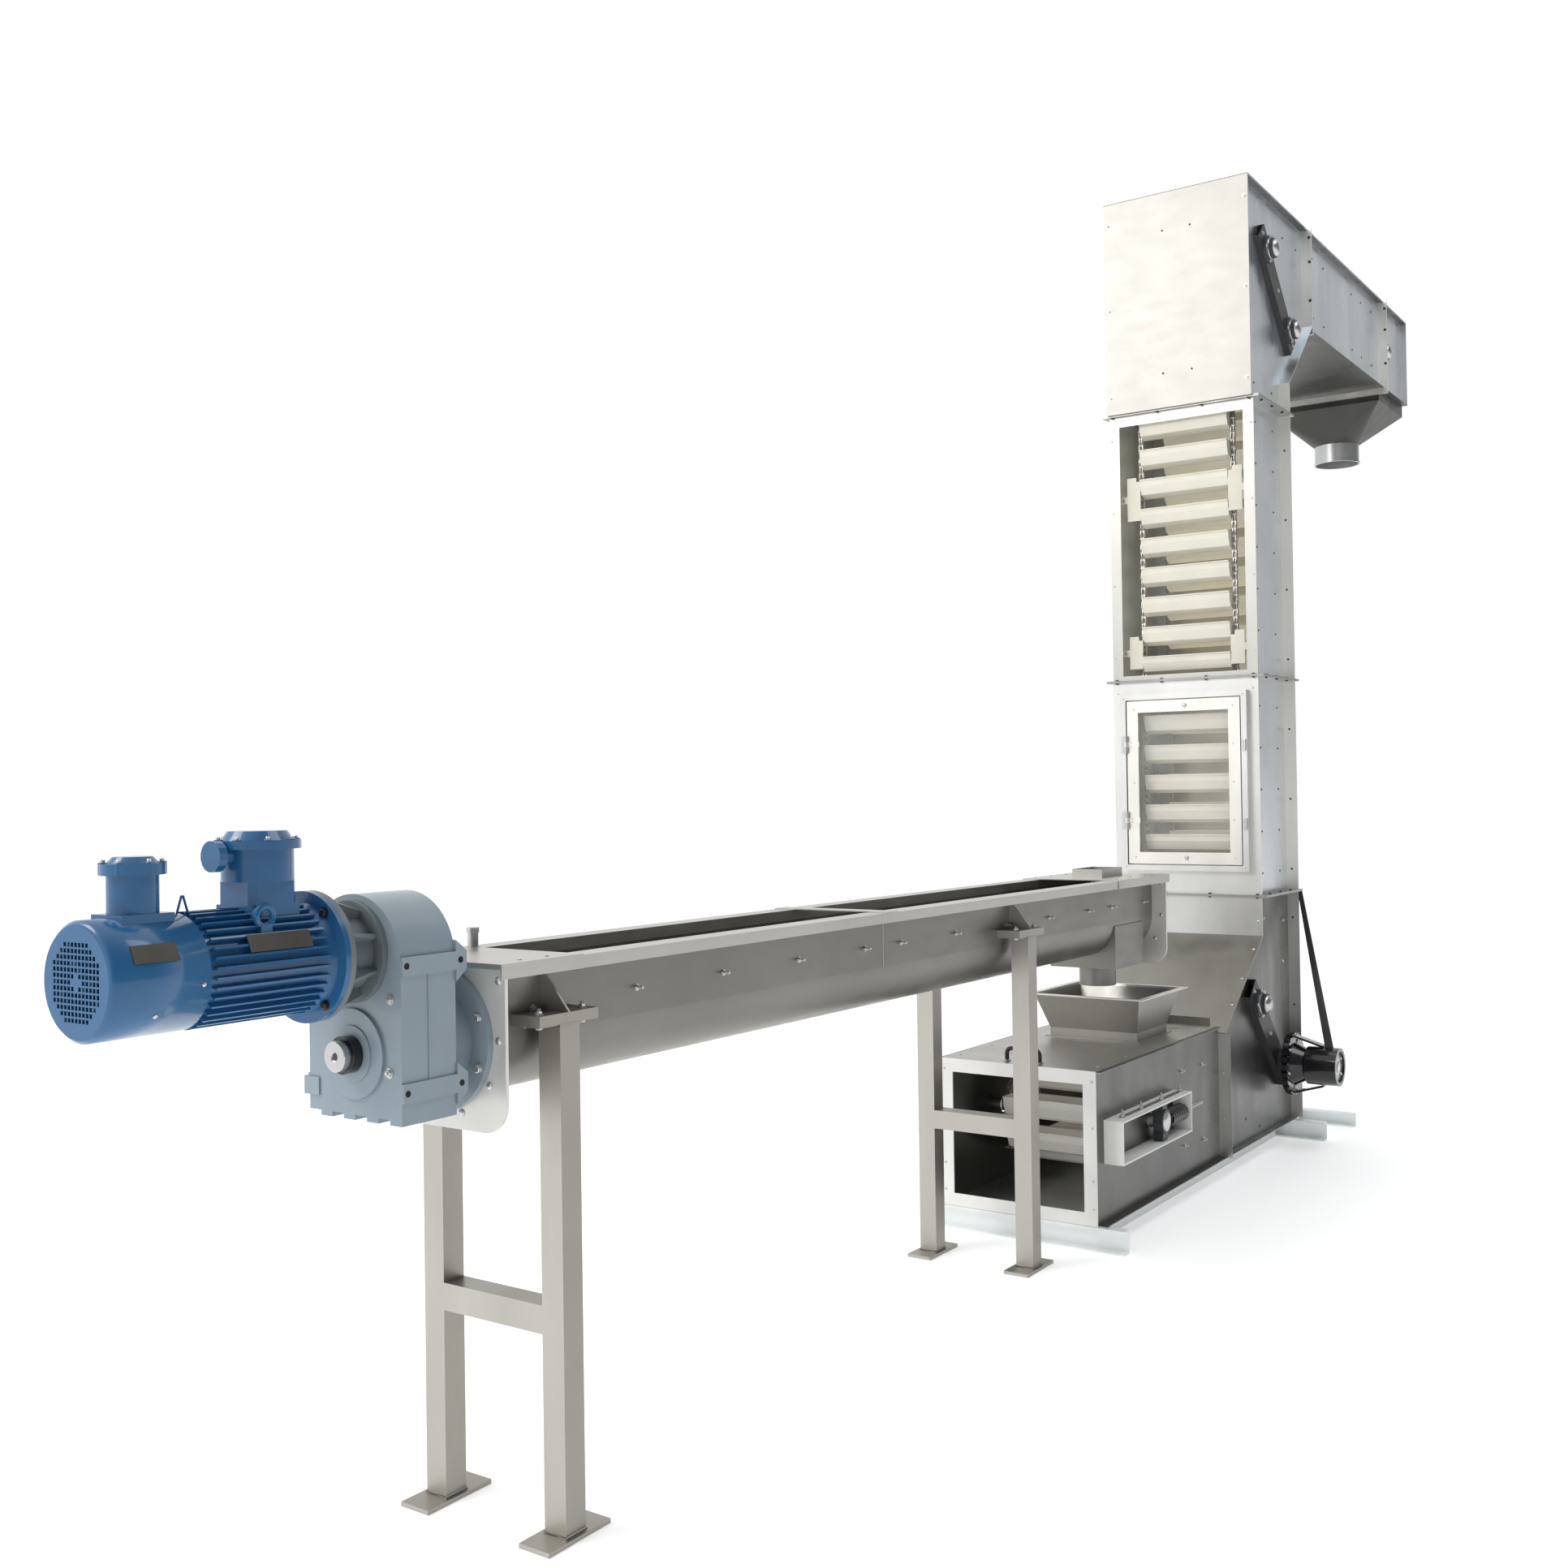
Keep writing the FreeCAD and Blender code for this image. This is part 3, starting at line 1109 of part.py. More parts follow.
def build_covers():
    x0 = NEAR_PLATE_X - END_PLATE_T - COVER_OVERHANG
    near = cover(x0, NEAR_PLATE_X + NEAR_COVER_L)
    half = TROUGH_RIM_HALF + COVER_T
    near.append(box(x0, x0 + COVER_T, -half, half, TROUGH_TOP_Z - NEAR_COVER_DROP, TROUGH_TOP_Z + COVER_T))
    x1 = FAR_PLATE_X + END_PLATE_T + COVER_OVERHANG
    far = cover(FAR_PLATE_X - FAR_COVER_L, x1)
    far.append(box(x1 - COVER_T, x1, -half, half, TROUGH_TOP_Z - TROUGH_RIM_DROP, TROUGH_TOP_Z + COVER_T))
    cx0 = FAR_PLATE_X - COLLAR_X0_FROM_FAR
    z1 = TROUGH_TOP_Z + COVER_T
    rim = box(cx0, cx0 + COLLAR_L, -COLLAR_HALF, COLLAR_HALF, z1, z1 + COLLAR_H)
    mouth = box(cx0 + COVER_T, cx0 + COLLAR_L - COVER_T, -COLLAR_HALF + COVER_T, COLLAR_HALF - COVER_T,
                TROUGH_TOP_Z - 1, z1 + COLLAR_H + 1)
    mid = FRONT_X - STRAP_FROM_FRONT
    strap = box(mid - STRAP_W / 2, mid + STRAP_W / 2, -TROUGH_RIM_HALF, TROUGH_RIM_HALF,
                TROUGH_TOP_Z, TROUGH_TOP_Z + COVER_T)
    node("trough_covers", fuse(near), fuse(far + [rim]).cut(mouth), strap)


def helix(section, pitch, steps, facets):
    """A helical bar along +X whose section is given as (radius, x) points, in flat facets."""
    rings = []
    for i in range(steps + 1):
        angle = 2 * math.pi * i / facets
        x = pitch * i / facets
        rings.append([V(x + dx, r * math.cos(angle), r * math.sin(angle)) for r, dx in section])
    faces = []
    for a, b in zip(rings[:-1], rings[1:]):
        for k in range(len(section)):
            p, q, m, n = a[k - 1], a[k], b[k], b[k - 1]
            faces.append(Part.Face(Part.makePolygon([p, q, m, p])))
            faces.append(Part.Face(Part.makePolygon([p, m, n, p])))
    for end in (rings[0], rings[-1]):
        faces.append(Part.Face(Part.makePolygon(end + [end[0]])))
    return Part.makeSolid(Part.makeShell(faces))


def build_screw():
    x0 = NEAR_PLATE_X - END_PLATE_T
    x1 = FAR_PLATE_X + END_PLATE_T
    node("screw_shaft", cyl_x(x0, x1, 0, SCREW_Z, SCREW_SHAFT_R))
    steps = int((FAR_PLATE_X - NEAR_PLATE_X - SCREW_PITCH / 2) / SCREW_PITCH * SCREW_FACETS)
    inner = SCREW_SHAFT_R / math.cos(math.pi / SCREW_FACETS) + SEAT_GAP
    t = SCREW_FLIGHT_T
    section = [(inner, 0), (SCREW_FLIGHT_R, 0), (SCREW_FLIGHT_R, t), (inner, t)]
    flight = helix(section, SCREW_PITCH, steps, SCREW_FACETS)
    node("screw_flight", flight.translated(V(NEAR_PLATE_X + SCREW_PITCH / 4, 0, SCREW_Z)))


def build_outlet():
    outer = box(OUTLET_X0, OUTLET_X1, -OUTLET_HALF, OUTLET_HALF, OUTLET_LOW_Z, OUTLET_TOP_Z)
    inner = box(OUTLET_X0 + SHEET, OUTLET_X1 - SHEET, -OUTLET_HALF + SHEET, OUTLET_HALF - SHEET,
                OUTLET_LOW_Z + SHEET, OUTLET_TOP_Z + 1)
    shell = outer.cut(inner).cut(cyl_x(OUTLET_X0 - 1, OUTLET_X1 + 1, 0, SCREW_Z, TROUGH_R))
    x = (OUTLET_X0 + OUTLET_X1) / 2
    shell = shell.cut(cyl_z(x, 0, OUTLET_LOW_Z - 1, OUTLET_LOW_Z + 2 * SHEET, SPOUT_R - SHEET))
    pipe = cyl_z(x, 0, SPOUT_LOW_Z, OUTLET_LOW_Z, SPOUT_R).cut(cyl_z(x, 0, SPOUT_LOW_Z - 1, OUTLET_LOW_Z + 1,
                                                                    SPOUT_R - SHEET))
    node("outlet_box", fuse([shell, pipe]))


# Legs of the conveyor

def leg(x):
    """One square tube leg on the right-hand side with its foot plate and top pad."""
    half = LEG_TUBE / 2
    z1 = PAD_TOP_Z - PAD_T
    tube = box(x - half, x + half, -LEG_Y - half, -LEG_Y + half, FOOT_T, z1)
    tube = tube.cut(box(x - half + LEG_WALL, x + half - LEG_WALL, -LEG_Y - half + LEG_WALL,
                        -LEG_Y + half - LEG_WALL, FOOT_T, z1))
    foot = box(x - FOOT_L / 2, x + FOOT_L / 2, -LEG_Y - FOOT_W / 2, -LEG_Y + FOOT_W / 2, 0, FOOT_T)
    pad = box(x - PAD_L / 2, x + PAD_L / 2, -LEG_Y - half, -TROUGH_R, z1, PAD_TOP_Z)
    return fuse([tube, foot, pad])


def build_legs():
    for name, x in (("near_leg_frame", NEAR_LEG_X), ("far_leg_frame", FAR_LEG_X)):
        half = LEG_TUBE / 2
        bar = box(x - half, x + half, -LEG_Y + half, LEG_Y - half, CROSSBAR_Z - half, CROSSBAR_Z + half)
        bar = bar.cut(box(x - half + LEG_WALL, x + half - LEG_WALL, -LEG_Y + half, LEG_Y - half,
                          CROSSBAR_Z - half + LEG_WALL, CROSSBAR_Z + half - LEG_WALL))
        node(name, fuse(both_sides(leg(x)) + [bar]))
    brackets = []
    y1 = LEG_Y + LEG_TUBE / 2
    for x in (NEAR_LEG_X, FAR_LEG_X):
        pad = box(x - PAD_L / 2, x + PAD_L / 2, -y1, -TROUGH_R, PAD_TOP_Z, PAD_TOP_Z + PAD_T)
        z = PAD_TOP_Z + PAD_T
        outline = [(-TROUGH_R, z), (-y1, z), (-TROUGH_R, z + GUSSET_H)]
        gusset = prism_x(outline, x - GUSSET_T / 2, x + GUSSET_T / 2)
        brackets.extend(both_sides(fuse([pad, gusset])))
    node("saddle_brackets", *brackets)


# Gearmotor

def gearbox_face(x):
    """The gear housing's end view: upright sides under a half-round top."""
    half = GEARBOX_HALF
    low = GEARBOX_LOW_Z
    edges = [
        Part.LineSegment(V(x, half, low), V(x, -half, low)),
        Part.LineSegment(V(x, -half, low), V(x, -half, ARCH_Z)),
        Part.Arc(V(x, -half, ARCH_Z), V(x, 0, ARCH_Z + half), V(x, half, ARCH_Z)),
        Part.LineSegment(V(x, half, ARCH_Z), V(x, half, low)),
    ]
    return Part.Face(Part.Wire([edge.toShape() for edge in edges]))


def gearbox_band(z, x0, x1):
    """A raised band on the right-hand side that ends in a lug behind the housing."""
    y0 = -GEARBOX_HALF - BAND_T
    band = box(x0, x1, y0, -GEARBOX_HALF, z, z + BAND_H)
    outline = [(x1 - 1, z - EAR_SLOPE_H), (x1 + EAR_REACH, z), (x1 + EAR_REACH, z + BAND_H),
               (x1 - 1, z + BAND_H + EAR_SLOPE_H)]
    return [band, prism_y(outline, y0, y0 + EAR_W)]


def build_gearbox():
    face_x = NEAR_PLATE_X - END_PLATE_T
    collar_x = face_x - OUTPUT_FLANGE_T
    x1 = collar_x - OUTPUT_COLLAR_L
    x0 = x1 - GEARBOX_W
    pieces = [gearbox_face(x0).extrude(V(GEARBOX_W, 0, 0))]
    seam_x = (x0 + x1) / 2
    seam = box(seam_x - BAND_T / 2, seam_x + BAND_T / 2, -GEARBOX_HALF - 2, GEARBOX_HALF + 2,
               LOWER_BAND_Z, UPPER_BAND_Z)
    pieces.append(seam)
    for z in (LOWER_BAND_Z, UPPER_BAND_Z):
        for piece in gearbox_band(z, x0, x1):
            pieces.extend(both_sides(piece))
    step = 2 * GEARBOX_HALF / FOOT_COUNT
    for i in range(FOOT_COUNT):
        y = -GEARBOX_HALF + step * i
        pieces.append(box(x0, x1, y, y + step / 2, GEARBOX_LOW_Z - FOOT_H, GEARBOX_LOW_Z))
    pieces.append(cyl_x(collar_x, face_x, 0, SCREW_Z, OUTPUT_FLANGE_R))
    pieces.append(cyl_x(x1 - 1, collar_x, 0, SCREW_Z, OUTPUT_COLLAR_R))
    pieces.append(cyl_x(x0 - BOSS_T, x0 + 1, 0, SCREW_Z, BOSS_R))
    pieces.append(cyl_x(x0 - BOSS_T - 3, x0, 0, SCREW_Z, BOSS_RING_R))
    bore = cyl_x(x0 - BOSS_T - 4, face_x + 1, 0, SCREW_Z, SCREW_SHAFT_R)
    node("gearbox", fuse(pieces).cut(bore))

    ring_x = x0 - BOSS_T - 3
    ring = cyl_x(ring_x - CAP_L, ring_x, 0, SCREW_Z, CAP_R)
    end = cyl_x(x0 - SHAFT_END, ring_x + 1, 0, SCREW_Z, SCREW_SHAFT_R - SEAT_GAP)
    node("gearbox_cap", fuse([ring, end]))
    return x0


def build_motor(x0):
    """The motor with its bell, in front of the gear housing's end at x0."""
    ring_x = x0 - BELL_L
    bell = [
        cyl_x(x0 - BELL_DISC_T, x0, 0, MOTOR_Z, BELL_DISC_R),
        cyl_x(ring_x, x0, 0, MOTOR_Z, BELL_R),
        cyl_x(ring_x - BELL_RING_T, ring_x, 0, MOTOR_Z, MOTOR_FLANGE_R),
    ]
    for i in range(BELL_RIBS):
        outline = [(x0 - 1, BELL_R - 2), (ring_x + 1, BELL_R - 2), (ring_x + 1, MOTOR_FLANGE_R - 8),
                   (x0 - BELL_DISC_T, BELL_DISC_R - 10), (x0 - 1, BELL_DISC_R - 10)]
        rib = prism_y(outline, -FIN_T, FIN_T)
        rib.rotate(V(0, 0, 0), X_AXIS, 360 * (i + 0.5) / BELL_RIBS)
        bell.append(rib.translated(V(0, 0, MOTOR_Z)))
    node("motor_neck", fuse(bell))

    flange_x1 = ring_x - BELL_RING_T
    flange_x = flange_x1 - MOTOR_FLANGE_T
    body_x = flange_x - MOTOR_BODY_L
    pieces = [
        cyl_x(flange_x, flange_x1, 0, MOTOR_Z, MOTOR_FLANGE_R),
        cyl_x(body_x, flange_x, 0, MOTOR_Z, MOTOR_BODY_R),
        Part.makeCone(MOTOR_BODY_R, COWL_R, BEARING_L, V(flange_x - BEARING_L, 0, MOTOR_Z), X_AXIS),
    ]
    for i in range(FIN_COUNT):
        fin = box(body_x + FIN_H, flange_x - BEARING_L / 2, -FIN_T / 2, FIN_T / 2, MOTOR_BODY_R - 3,
                  MOTOR_BODY_R + FIN_H)
        fin.rotate(V(0, 0, 0), X_AXIS, 360 * (i + 0.5) / FIN_COUNT)
        pieces.append(fin.translated(V(0, 0, MOTOR_Z)))
    mid = flange_x - BOX_SETBACK
    half = TERMINAL_BASE / 2
    seat_z = MOTOR_Z + MOTOR_BODY_R + FIN_H + 4
    pieces.append(box(mid - half, mid + half, -half, half, MOTOR_Z, seat_z))
    node("motor_body", fuse(pieces))
    cowl = cyl_x(body_x - COWL_L, body_x, 0, MOTOR_Z, COWL_R)
    rim = [e for e in cowl.Edges if e.BoundBox.XLength < 1 and e.CenterOfMass.x < body_x - COWL_L + 1]
    node("fan_cowl", cowl.makeChamfer(COWL_EDGE_R, rim))

    base = box(mid - half, mid + half, -half, half, seat_z, TERMINAL_BASE_Z)
    base = base.makeChamfer(FIN_H, [e for e in base.Edges if e.BoundBox.ZLength > FIN_H])
    lid_z = TERMINAL_LID_Z + TERMINAL_LID_T
    gland_x = mid - TERMINAL_R - GLAND_REACH
    node("terminal_box", fuse([
        base,
        cyl_z(mid, 0, TERMINAL_BASE_Z - 1, TERMINAL_LID_Z, TERMINAL_R),
        cyl_z(mid, 0, TERMINAL_LID_Z, lid_z, TERMINAL_LID_R),
        Part.makeCone(TERMINAL_R, TERMINAL_R - 12, TERMINAL_DOME_H, V(mid, 0, lid_z), Z_AXIS),
        bar_x(gland_x, mid, 0, GLAND_Z, GLAND_R),
        bar_x(gland_x, gland_x + GLAND_R, 0, GLAND_Z, GLAND_DISC_R),
    ]))

    fan_mid = body_x - COWL_L + FAN_BOX_FROM_END
    length = FAN_BOX_BASE / 2
    saddle = box(fan_mid - length, fan_mid + length, -FAN_BOX_HALF, FAN_BOX_HALF, MOTOR_Z, FAN_BOX_SEAT_Z)
    saddle = saddle.cut(cyl_x(fan_mid - length - 1, fan_mid + length + 1, 0, MOTOR_Z, COWL_R))
    fan_lid_z = FAN_BOX_LID_Z + FAN_BOX_LID_T
    seat = box(fan_mid - length, fan_mid + length, -FAN_BOX_HALF, FAN_BOX_HALF, FAN_BOX_SEAT_Z - 1,
               FAN_BOX_SEAT_Z + SHEET)
    node("fan_terminal_box", fuse([
        saddle.Solids[0] if len(saddle.Solids) == 1 else max(saddle.Solids, key=lambda solid: solid.Volume),
        seat,
        cyl_z(fan_mid, 0, FAN_BOX_SEAT_Z, FAN_BOX_LID_Z, FAN_BOX_R),
        cyl_z(fan_mid, 0, FAN_BOX_LID_Z, fan_lid_z, FAN_BOX_LID_R),
        Part.makeCone(FAN_BOX_R, FAN_BOX_R - 10, FAN_BOX_DOME_H, V(fan_mid, 0, fan_lid_z), Z_AXIS),
    ]))


def main():
    build_base()
    build_inlet_box()
    build_hopper()
    build_handle()
    build_boot()
    build_tower()
    build_door()
    build_head()
    build_chute()
    build_chains()
    build_buckets()
    build_shafts()
    build_bearings()
    build_takeups()
    build_drive()
    build_guides()
    build_trough()
    build_end_plates()
    build_covers()
    build_screw()
    build_outlet()
    build_legs()
    build_motor(build_gearbox())
    os.makedirs("parts", exist_ok=True)
    for name, shape in NODES.items():
        shape.exportStep(os.path.join("parts", name + ".step"))
    print(len(NODES), "nodes")


main()
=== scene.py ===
import json
import math

import bmesh
import bpy
from mathutils import Matrix, Vector


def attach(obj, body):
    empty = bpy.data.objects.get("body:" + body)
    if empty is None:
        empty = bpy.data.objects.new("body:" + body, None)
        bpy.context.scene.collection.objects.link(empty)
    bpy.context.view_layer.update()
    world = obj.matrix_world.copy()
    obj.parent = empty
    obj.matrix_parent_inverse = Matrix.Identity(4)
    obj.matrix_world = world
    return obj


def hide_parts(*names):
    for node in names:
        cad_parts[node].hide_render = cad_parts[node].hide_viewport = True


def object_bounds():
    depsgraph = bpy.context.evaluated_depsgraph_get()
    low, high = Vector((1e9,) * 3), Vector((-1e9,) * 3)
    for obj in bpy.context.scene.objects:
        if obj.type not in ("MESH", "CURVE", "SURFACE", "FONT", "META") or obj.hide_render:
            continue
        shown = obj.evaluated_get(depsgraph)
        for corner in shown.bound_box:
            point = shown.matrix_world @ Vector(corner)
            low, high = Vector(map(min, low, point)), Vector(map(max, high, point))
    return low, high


# Looks of the bucket elevator with its infeed screw conveyor. Metres: x ahead, y left, z up.

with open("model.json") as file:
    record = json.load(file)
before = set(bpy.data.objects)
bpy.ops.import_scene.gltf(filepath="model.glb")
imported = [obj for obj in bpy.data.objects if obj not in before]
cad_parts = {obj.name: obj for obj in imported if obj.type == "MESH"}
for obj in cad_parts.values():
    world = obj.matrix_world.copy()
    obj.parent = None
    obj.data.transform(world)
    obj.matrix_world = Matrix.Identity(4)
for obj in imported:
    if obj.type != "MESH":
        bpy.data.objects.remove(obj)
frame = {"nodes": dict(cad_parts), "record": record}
nodes = frame["nodes"]
scene = bpy.context.scene
low_corner, high_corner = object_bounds()

# Camera, fitted to the photo: place, turn and lens
CAMERA_AT = Vector((-7.0195, -2.4586, 1.5429))
CAMERA_YAW = 0.6084
CAMERA_PITCH = 0.0118
CAMERA_ROLL = -0.0142
SENSOR_MM = 36.0
LENS_MM = 36.50
SHIFT_X = 0.0058
SHIFT_Y = -0.0066

# Directions
LEFT = Vector((0, 1, 0))
RIGHT = Vector((0, -1, 0))
AHEAD = Vector((1, 0, 0))
BACK = Vector((-1, 0, 0))
UP = Vector((0, 0, 1))
DOWN = Vector((0, 0, -1))

# Places that the solids give, in metres
WALL_Y = 0.292
FRONT_X = -0.400
REAR_X = 0.045
JOINT_HALF_T = 0.005
BOOT_JOINT_Z = 1.080
DOOR_JOINT_Z = 2.006
HEAD_JOINT_Z = 3.180
HEAD_FRONT_X = -0.425
DOOR_FACE_X = -0.430
RING_FACE_X = -0.432
HINGE_LEAF_Z = (1.361, 1.692)
WHEEL_R = 0.143
WHEELS = ((-1.590, 0.354), (-0.177, 0.354), (0.109, 3.570), (1.840, 3.856), (-0.177, 3.856), (-0.463, 0.640))
CHAIN_Y = 0.2055
CHAIN_PITCH = 0.03175
TROUGH_Y = 0.127
NEAR_PLATE_X = -4.712
FAR_PLATE_X = -1.130
SCREW_Z = 1.045
MOTOR_Z = 1.244
LEG_X = (-4.546, -2.352)
LEG_Y = 0.176


# Materials

class Shader:
    """A node material with short calls for the links that every finish here needs."""

    def __init__(self, name):
        self.material = bpy.data.materials.new(name)
        self.material.use_nodes = True
        self.tree = self.material.node_tree
        self.body = self.tree.nodes["Principled BSDF"]
        self.place = self.add("ShaderNodeTexCoord").outputs["Object"]

    def add(self, kind, **values):
        made = self.tree.nodes.new(kind)
        for key, value in values.items():
            setattr(made, key, value)
        return made

    def link(self, a, b):
        self.tree.links.new(a, b)

    def scaled(self, scale):
        mapping = self.add("ShaderNodeMapping")
        mapping.inputs["Scale"].default_value = scale
        self.link(self.place, mapping.inputs["Vector"])
        return mapping.outputs["Vector"]

    def noise(self, scale, detail, stretch=(1, 1, 1)):
        made = self.add("ShaderNodeTexNoise")
        made.inputs["Scale"].default_value = scale
        made.inputs["Detail"].default_value = detail
        made.inputs["Roughness"].default_value = 0.5
        self.link(self.scaled(stretch), made.inputs["Vector"])
        return made.outputs["Fac"]

    def math(self, operation, a, b=0.0):
        """One sum on sockets or plain values."""
        made = self.add("ShaderNodeMath", operation=operation)
        for socket, value in zip(made.inputs, (a, b)):
            if hasattr(value, "links"):
                self.link(value, socket)
            else:
                socket.default_value = value
        return made.outputs["Value"]

    def ramp(self, source, low, high, a, b):
        """Values from a to b as the source goes from low to high."""
        made = self.add("ShaderNodeMapRange")
        made.inputs["From Min"].default_value = low
        made.inputs["From Max"].default_value = high
        made.inputs["To Min"].default_value = a
        made.inputs["To Max"].default_value = b
        self.link(source, made.inputs["Value"])
        return made.outputs["Result"]

    def mix(self, source, a, b):
        """Colour that goes from a to b as the source goes from 0 to 1."""
        made = self.add("ShaderNodeMix", data_type="RGBA")
        for key, value in (("A", a), ("B", b)):
            if hasattr(value, "links"):
                self.link(value, made.inputs[key])
            else:
                made.inputs[key].default_value = (*value, 1)
        self.link(source, made.inputs["Factor"])
        return made.outputs["Result"]

    def bump(self, source, strength, distance):
        made = self.add("ShaderNodeBump")
        made.inputs["Strength"].default_value = strength
        made.inputs["Distance"].default_value = distance
        self.link(source, made.inputs["Height"])
        self.link(made.outputs["Normal"], self.body.inputs["Normal"])

    def set(self, **values):
        for key, value in values.items():
            socket = self.body.inputs[key.replace("_", " ").title()]
            if hasattr(value, "links"):
                self.link(value, socket)
            else:
                socket.default_value = value
        return self.material


def shade(color, factor):
    """The colour, lighter or darker by a factor."""
    return tuple(min(1.0, c * factor) for c in color)


def sheet_metal(name, color, rough=0.36, stretch=(1, 1, 30), metal=0.9, uneven=0.10, streak=0.35, lit_above=None,
                front=None, shaded_under=None):
    """Rolled or brushed sheet: fine lines one way, slow clouds of sheen and faint hand marks.

    A low streak value draws the marks out upright. The colour given with a height is painted light, a lighter
    tone from there up; the front colour is painted light on folds and edges that face the feed end, and the
    colour for faces that look down is painted shade.
    """
    s = Shader(name)
    lines = s.noise(60.0, 3.0, stretch)
    clouds = s.noise(2.4, 4.0)
    smears = s.noise(9.0, 3.0, (1, 1, streak))
    both = s.math("ADD", s.math("MULTIPLY", clouds, 0.55), s.math("MULTIPLY", smears, 0.45))
    tone = s.ramp(both, 0.35, 0.65, 0, 1)
    color_out = s.mix(tone, shade(color, 1 - uneven), shade(color, 1 + uneven))
    # Painted light: a lighter colour from the given height up.
    if lit_above:
        split = s.add("ShaderNodeSeparateXYZ")
        s.link(s.place, split.inputs["Vector"])
        high = s.math("GREATER_THAN", split.outputs["Z"], lit_above[0])
        upper = s.mix(tone, shade(lit_above[1], 1 - uneven), shade(lit_above[1], 1 + uneven))
        color_out = s.mix(high, color_out, upper)
    # Painted light on faces towards the feed end, painted shade on faces that look down.
    for axis, painted_tone in (("X", front), ("Z", shaded_under)):
        if painted_tone:
            split = s.add("ShaderNodeSeparateXYZ")
            s.link(s.add("ShaderNodeTexCoord").outputs["Normal"], split.inputs["Vector"])
            facing = s.math("LESS_THAN", split.outputs[axis], -0.7)
            color_out = s.mix(facing, color_out, painted_tone)
    rough_out = s.ramp(smears, 0.25, 0.75, rough - 0.6 * uneven, rough + uneven)
    s.bump(lines, 0.08, 0.0006)
    return s.set(base_color=color_out, metallic=metal, roughness=rough_out)


def paint(name, color, rough=0.35, wear=0.05, metal=0.0, coat=0.0):
    """Brush or spray paint with a slight orange peel and uneven sheen."""
    s = Shader(name)
    clouds = s.noise(6.0, 5.0)
    peel = s.noise(420.0, 2.0)
    color_out = s.mix(s.ramp(clouds, 0.3, 0.7, 0, 1), shade(color, 1 - wear), shade(color, 1 + wear))
    s.bump(peel, 0.10, 0.0004)
    s.body.inputs["Coat Weight"].default_value = coat
    s.body.inputs["Specular IOR Level"].default_value = 0.35
    rough_out = s.ramp(clouds, 0.2, 0.8, rough - 0.05, rough + 0.07)
    return s.set(base_color=color_out, metallic=metal, roughness=rough_out)


def plastic(name, color, rough=0.45, soft=0.0, painted_glow=0.0):
    """Moulded plastic; the emission is painted light, an even light of its own that lifts pieces deep in the
    casing out of their shade.
    """
    s = Shader(name)
    s.body.inputs["Emission Color"].default_value = (*color, 1)
    s.body.inputs["Emission Strength"].default_value = painted_glow
    clouds = s.noise(9.0, 3.0)
    grain = s.noise(300.0, 2.0)
    color_out = s.mix(s.ramp(clouds, 0.3, 0.7, 0, 1), shade(color, 0.96), shade(color, 1.03))
    s.bump(grain, 0.06, 0.0003)
    s.body.inputs["Subsurface Weight"].default_value = soft
    s.body.inputs["Subsurface Scale"].default_value = 0.01
    return s.set(base_color=color_out, metallic=0.0, roughness=rough)


def cast(name, color, rough):
    """Painted casting with a coarse skin."""
    s = Shader(name)
    grain = s.noise(160.0, 4.0)
    clouds = s.noise(12.0, 4.0)
    color_out = s.mix(s.ramp(clouds, 0.3, 0.7, 0, 1), shade(color, 0.85), shade(color, 1.12))
    s.bump(grain, 0.25, 0.0008)
    return s.set(base_color=color_out, metallic=0.2, roughness=rough)


def clear_sheet(name):
    """Thin clear sheet that lets most light straight through, with a faint wiped haze."""
    s = Shader(name)
    smear = s.noise(5.0, 4.0)
    haze = s.ramp(smear, 0.3, 0.8, 0.04, 0.13)
    return s.set(base_color=(0.93, 0.95, 0.94, 1), alpha=haze, roughness=s.ramp(smear, 0.3, 0.8, 0.02, 0.10))


GRILLE_R = 0.073
GRILLE_PITCH = 0.0105
GRILLE_BAR = 0.0032
GRILLE_HUB_R = 0.012
GRILLE_DEPTH = 0.005
BLUE = (0.024, 0.125, 0.290)


def fan_cowl_paint(name):
    """Blue paint with painted shade: near black at the bottom of the air holes in the end face."""
    s = Shader(name)
    split = s.add("ShaderNodeSeparateXYZ")
    s.link(s.place, split.inputs["Vector"])
    across = split.outputs["Y"]
    up = s.math("SUBTRACT", split.outputs["Z"], MOTOR_Z)
    far = s.math("SQRT", s.math("ADD", s.math("MULTIPLY", across, across), s.math("MULTIPLY", up, up)))
    deep = s.math("MULTIPLY", s.math("GREATER_THAN", split.outputs["X"], low_corner[0] + GRILLE_DEPTH / 2),
                  s.math("LESS_THAN", split.outputs["X"], low_corner[0] + 2 * GRILLE_DEPTH))
    # Painted shade: the floor of each air hole is near black.
    holes = s.math("MULTIPLY", deep, s.math("LESS_THAN", far, GRILLE_R + GRILLE_PITCH))
    clouds = s.noise(6.0, 5.0)
    blue = s.mix(s.ramp(clouds, 0.3, 0.7, 0, 1), shade(BLUE, 0.92), shade(BLUE, 1.08))
    s.body.inputs["Coat Weight"].default_value = 0.35
    s.body.inputs["Specular IOR Level"].default_value = 0.35
    s.bump(s.noise(420.0, 2.0), 0.10, 0.0004)
    color = s.mix(holes, blue, (0.004, 0.008, 0.016))
    return s.set(base_color=color, roughness=s.ramp(holes, 0, 1, 0.26, 0.9))


# Heights at which a piece changes its colour: from there up it is painted lighter, as painted light on rims
# and upper faces
RIM_LOW_Z = 1.1755
SLOPE_TOP_Z = 0.914
HOPPER_RIM_Z = 0.757
ARM_LOW_Z = 3.400
ROOF_FACE_Z = 4.1135

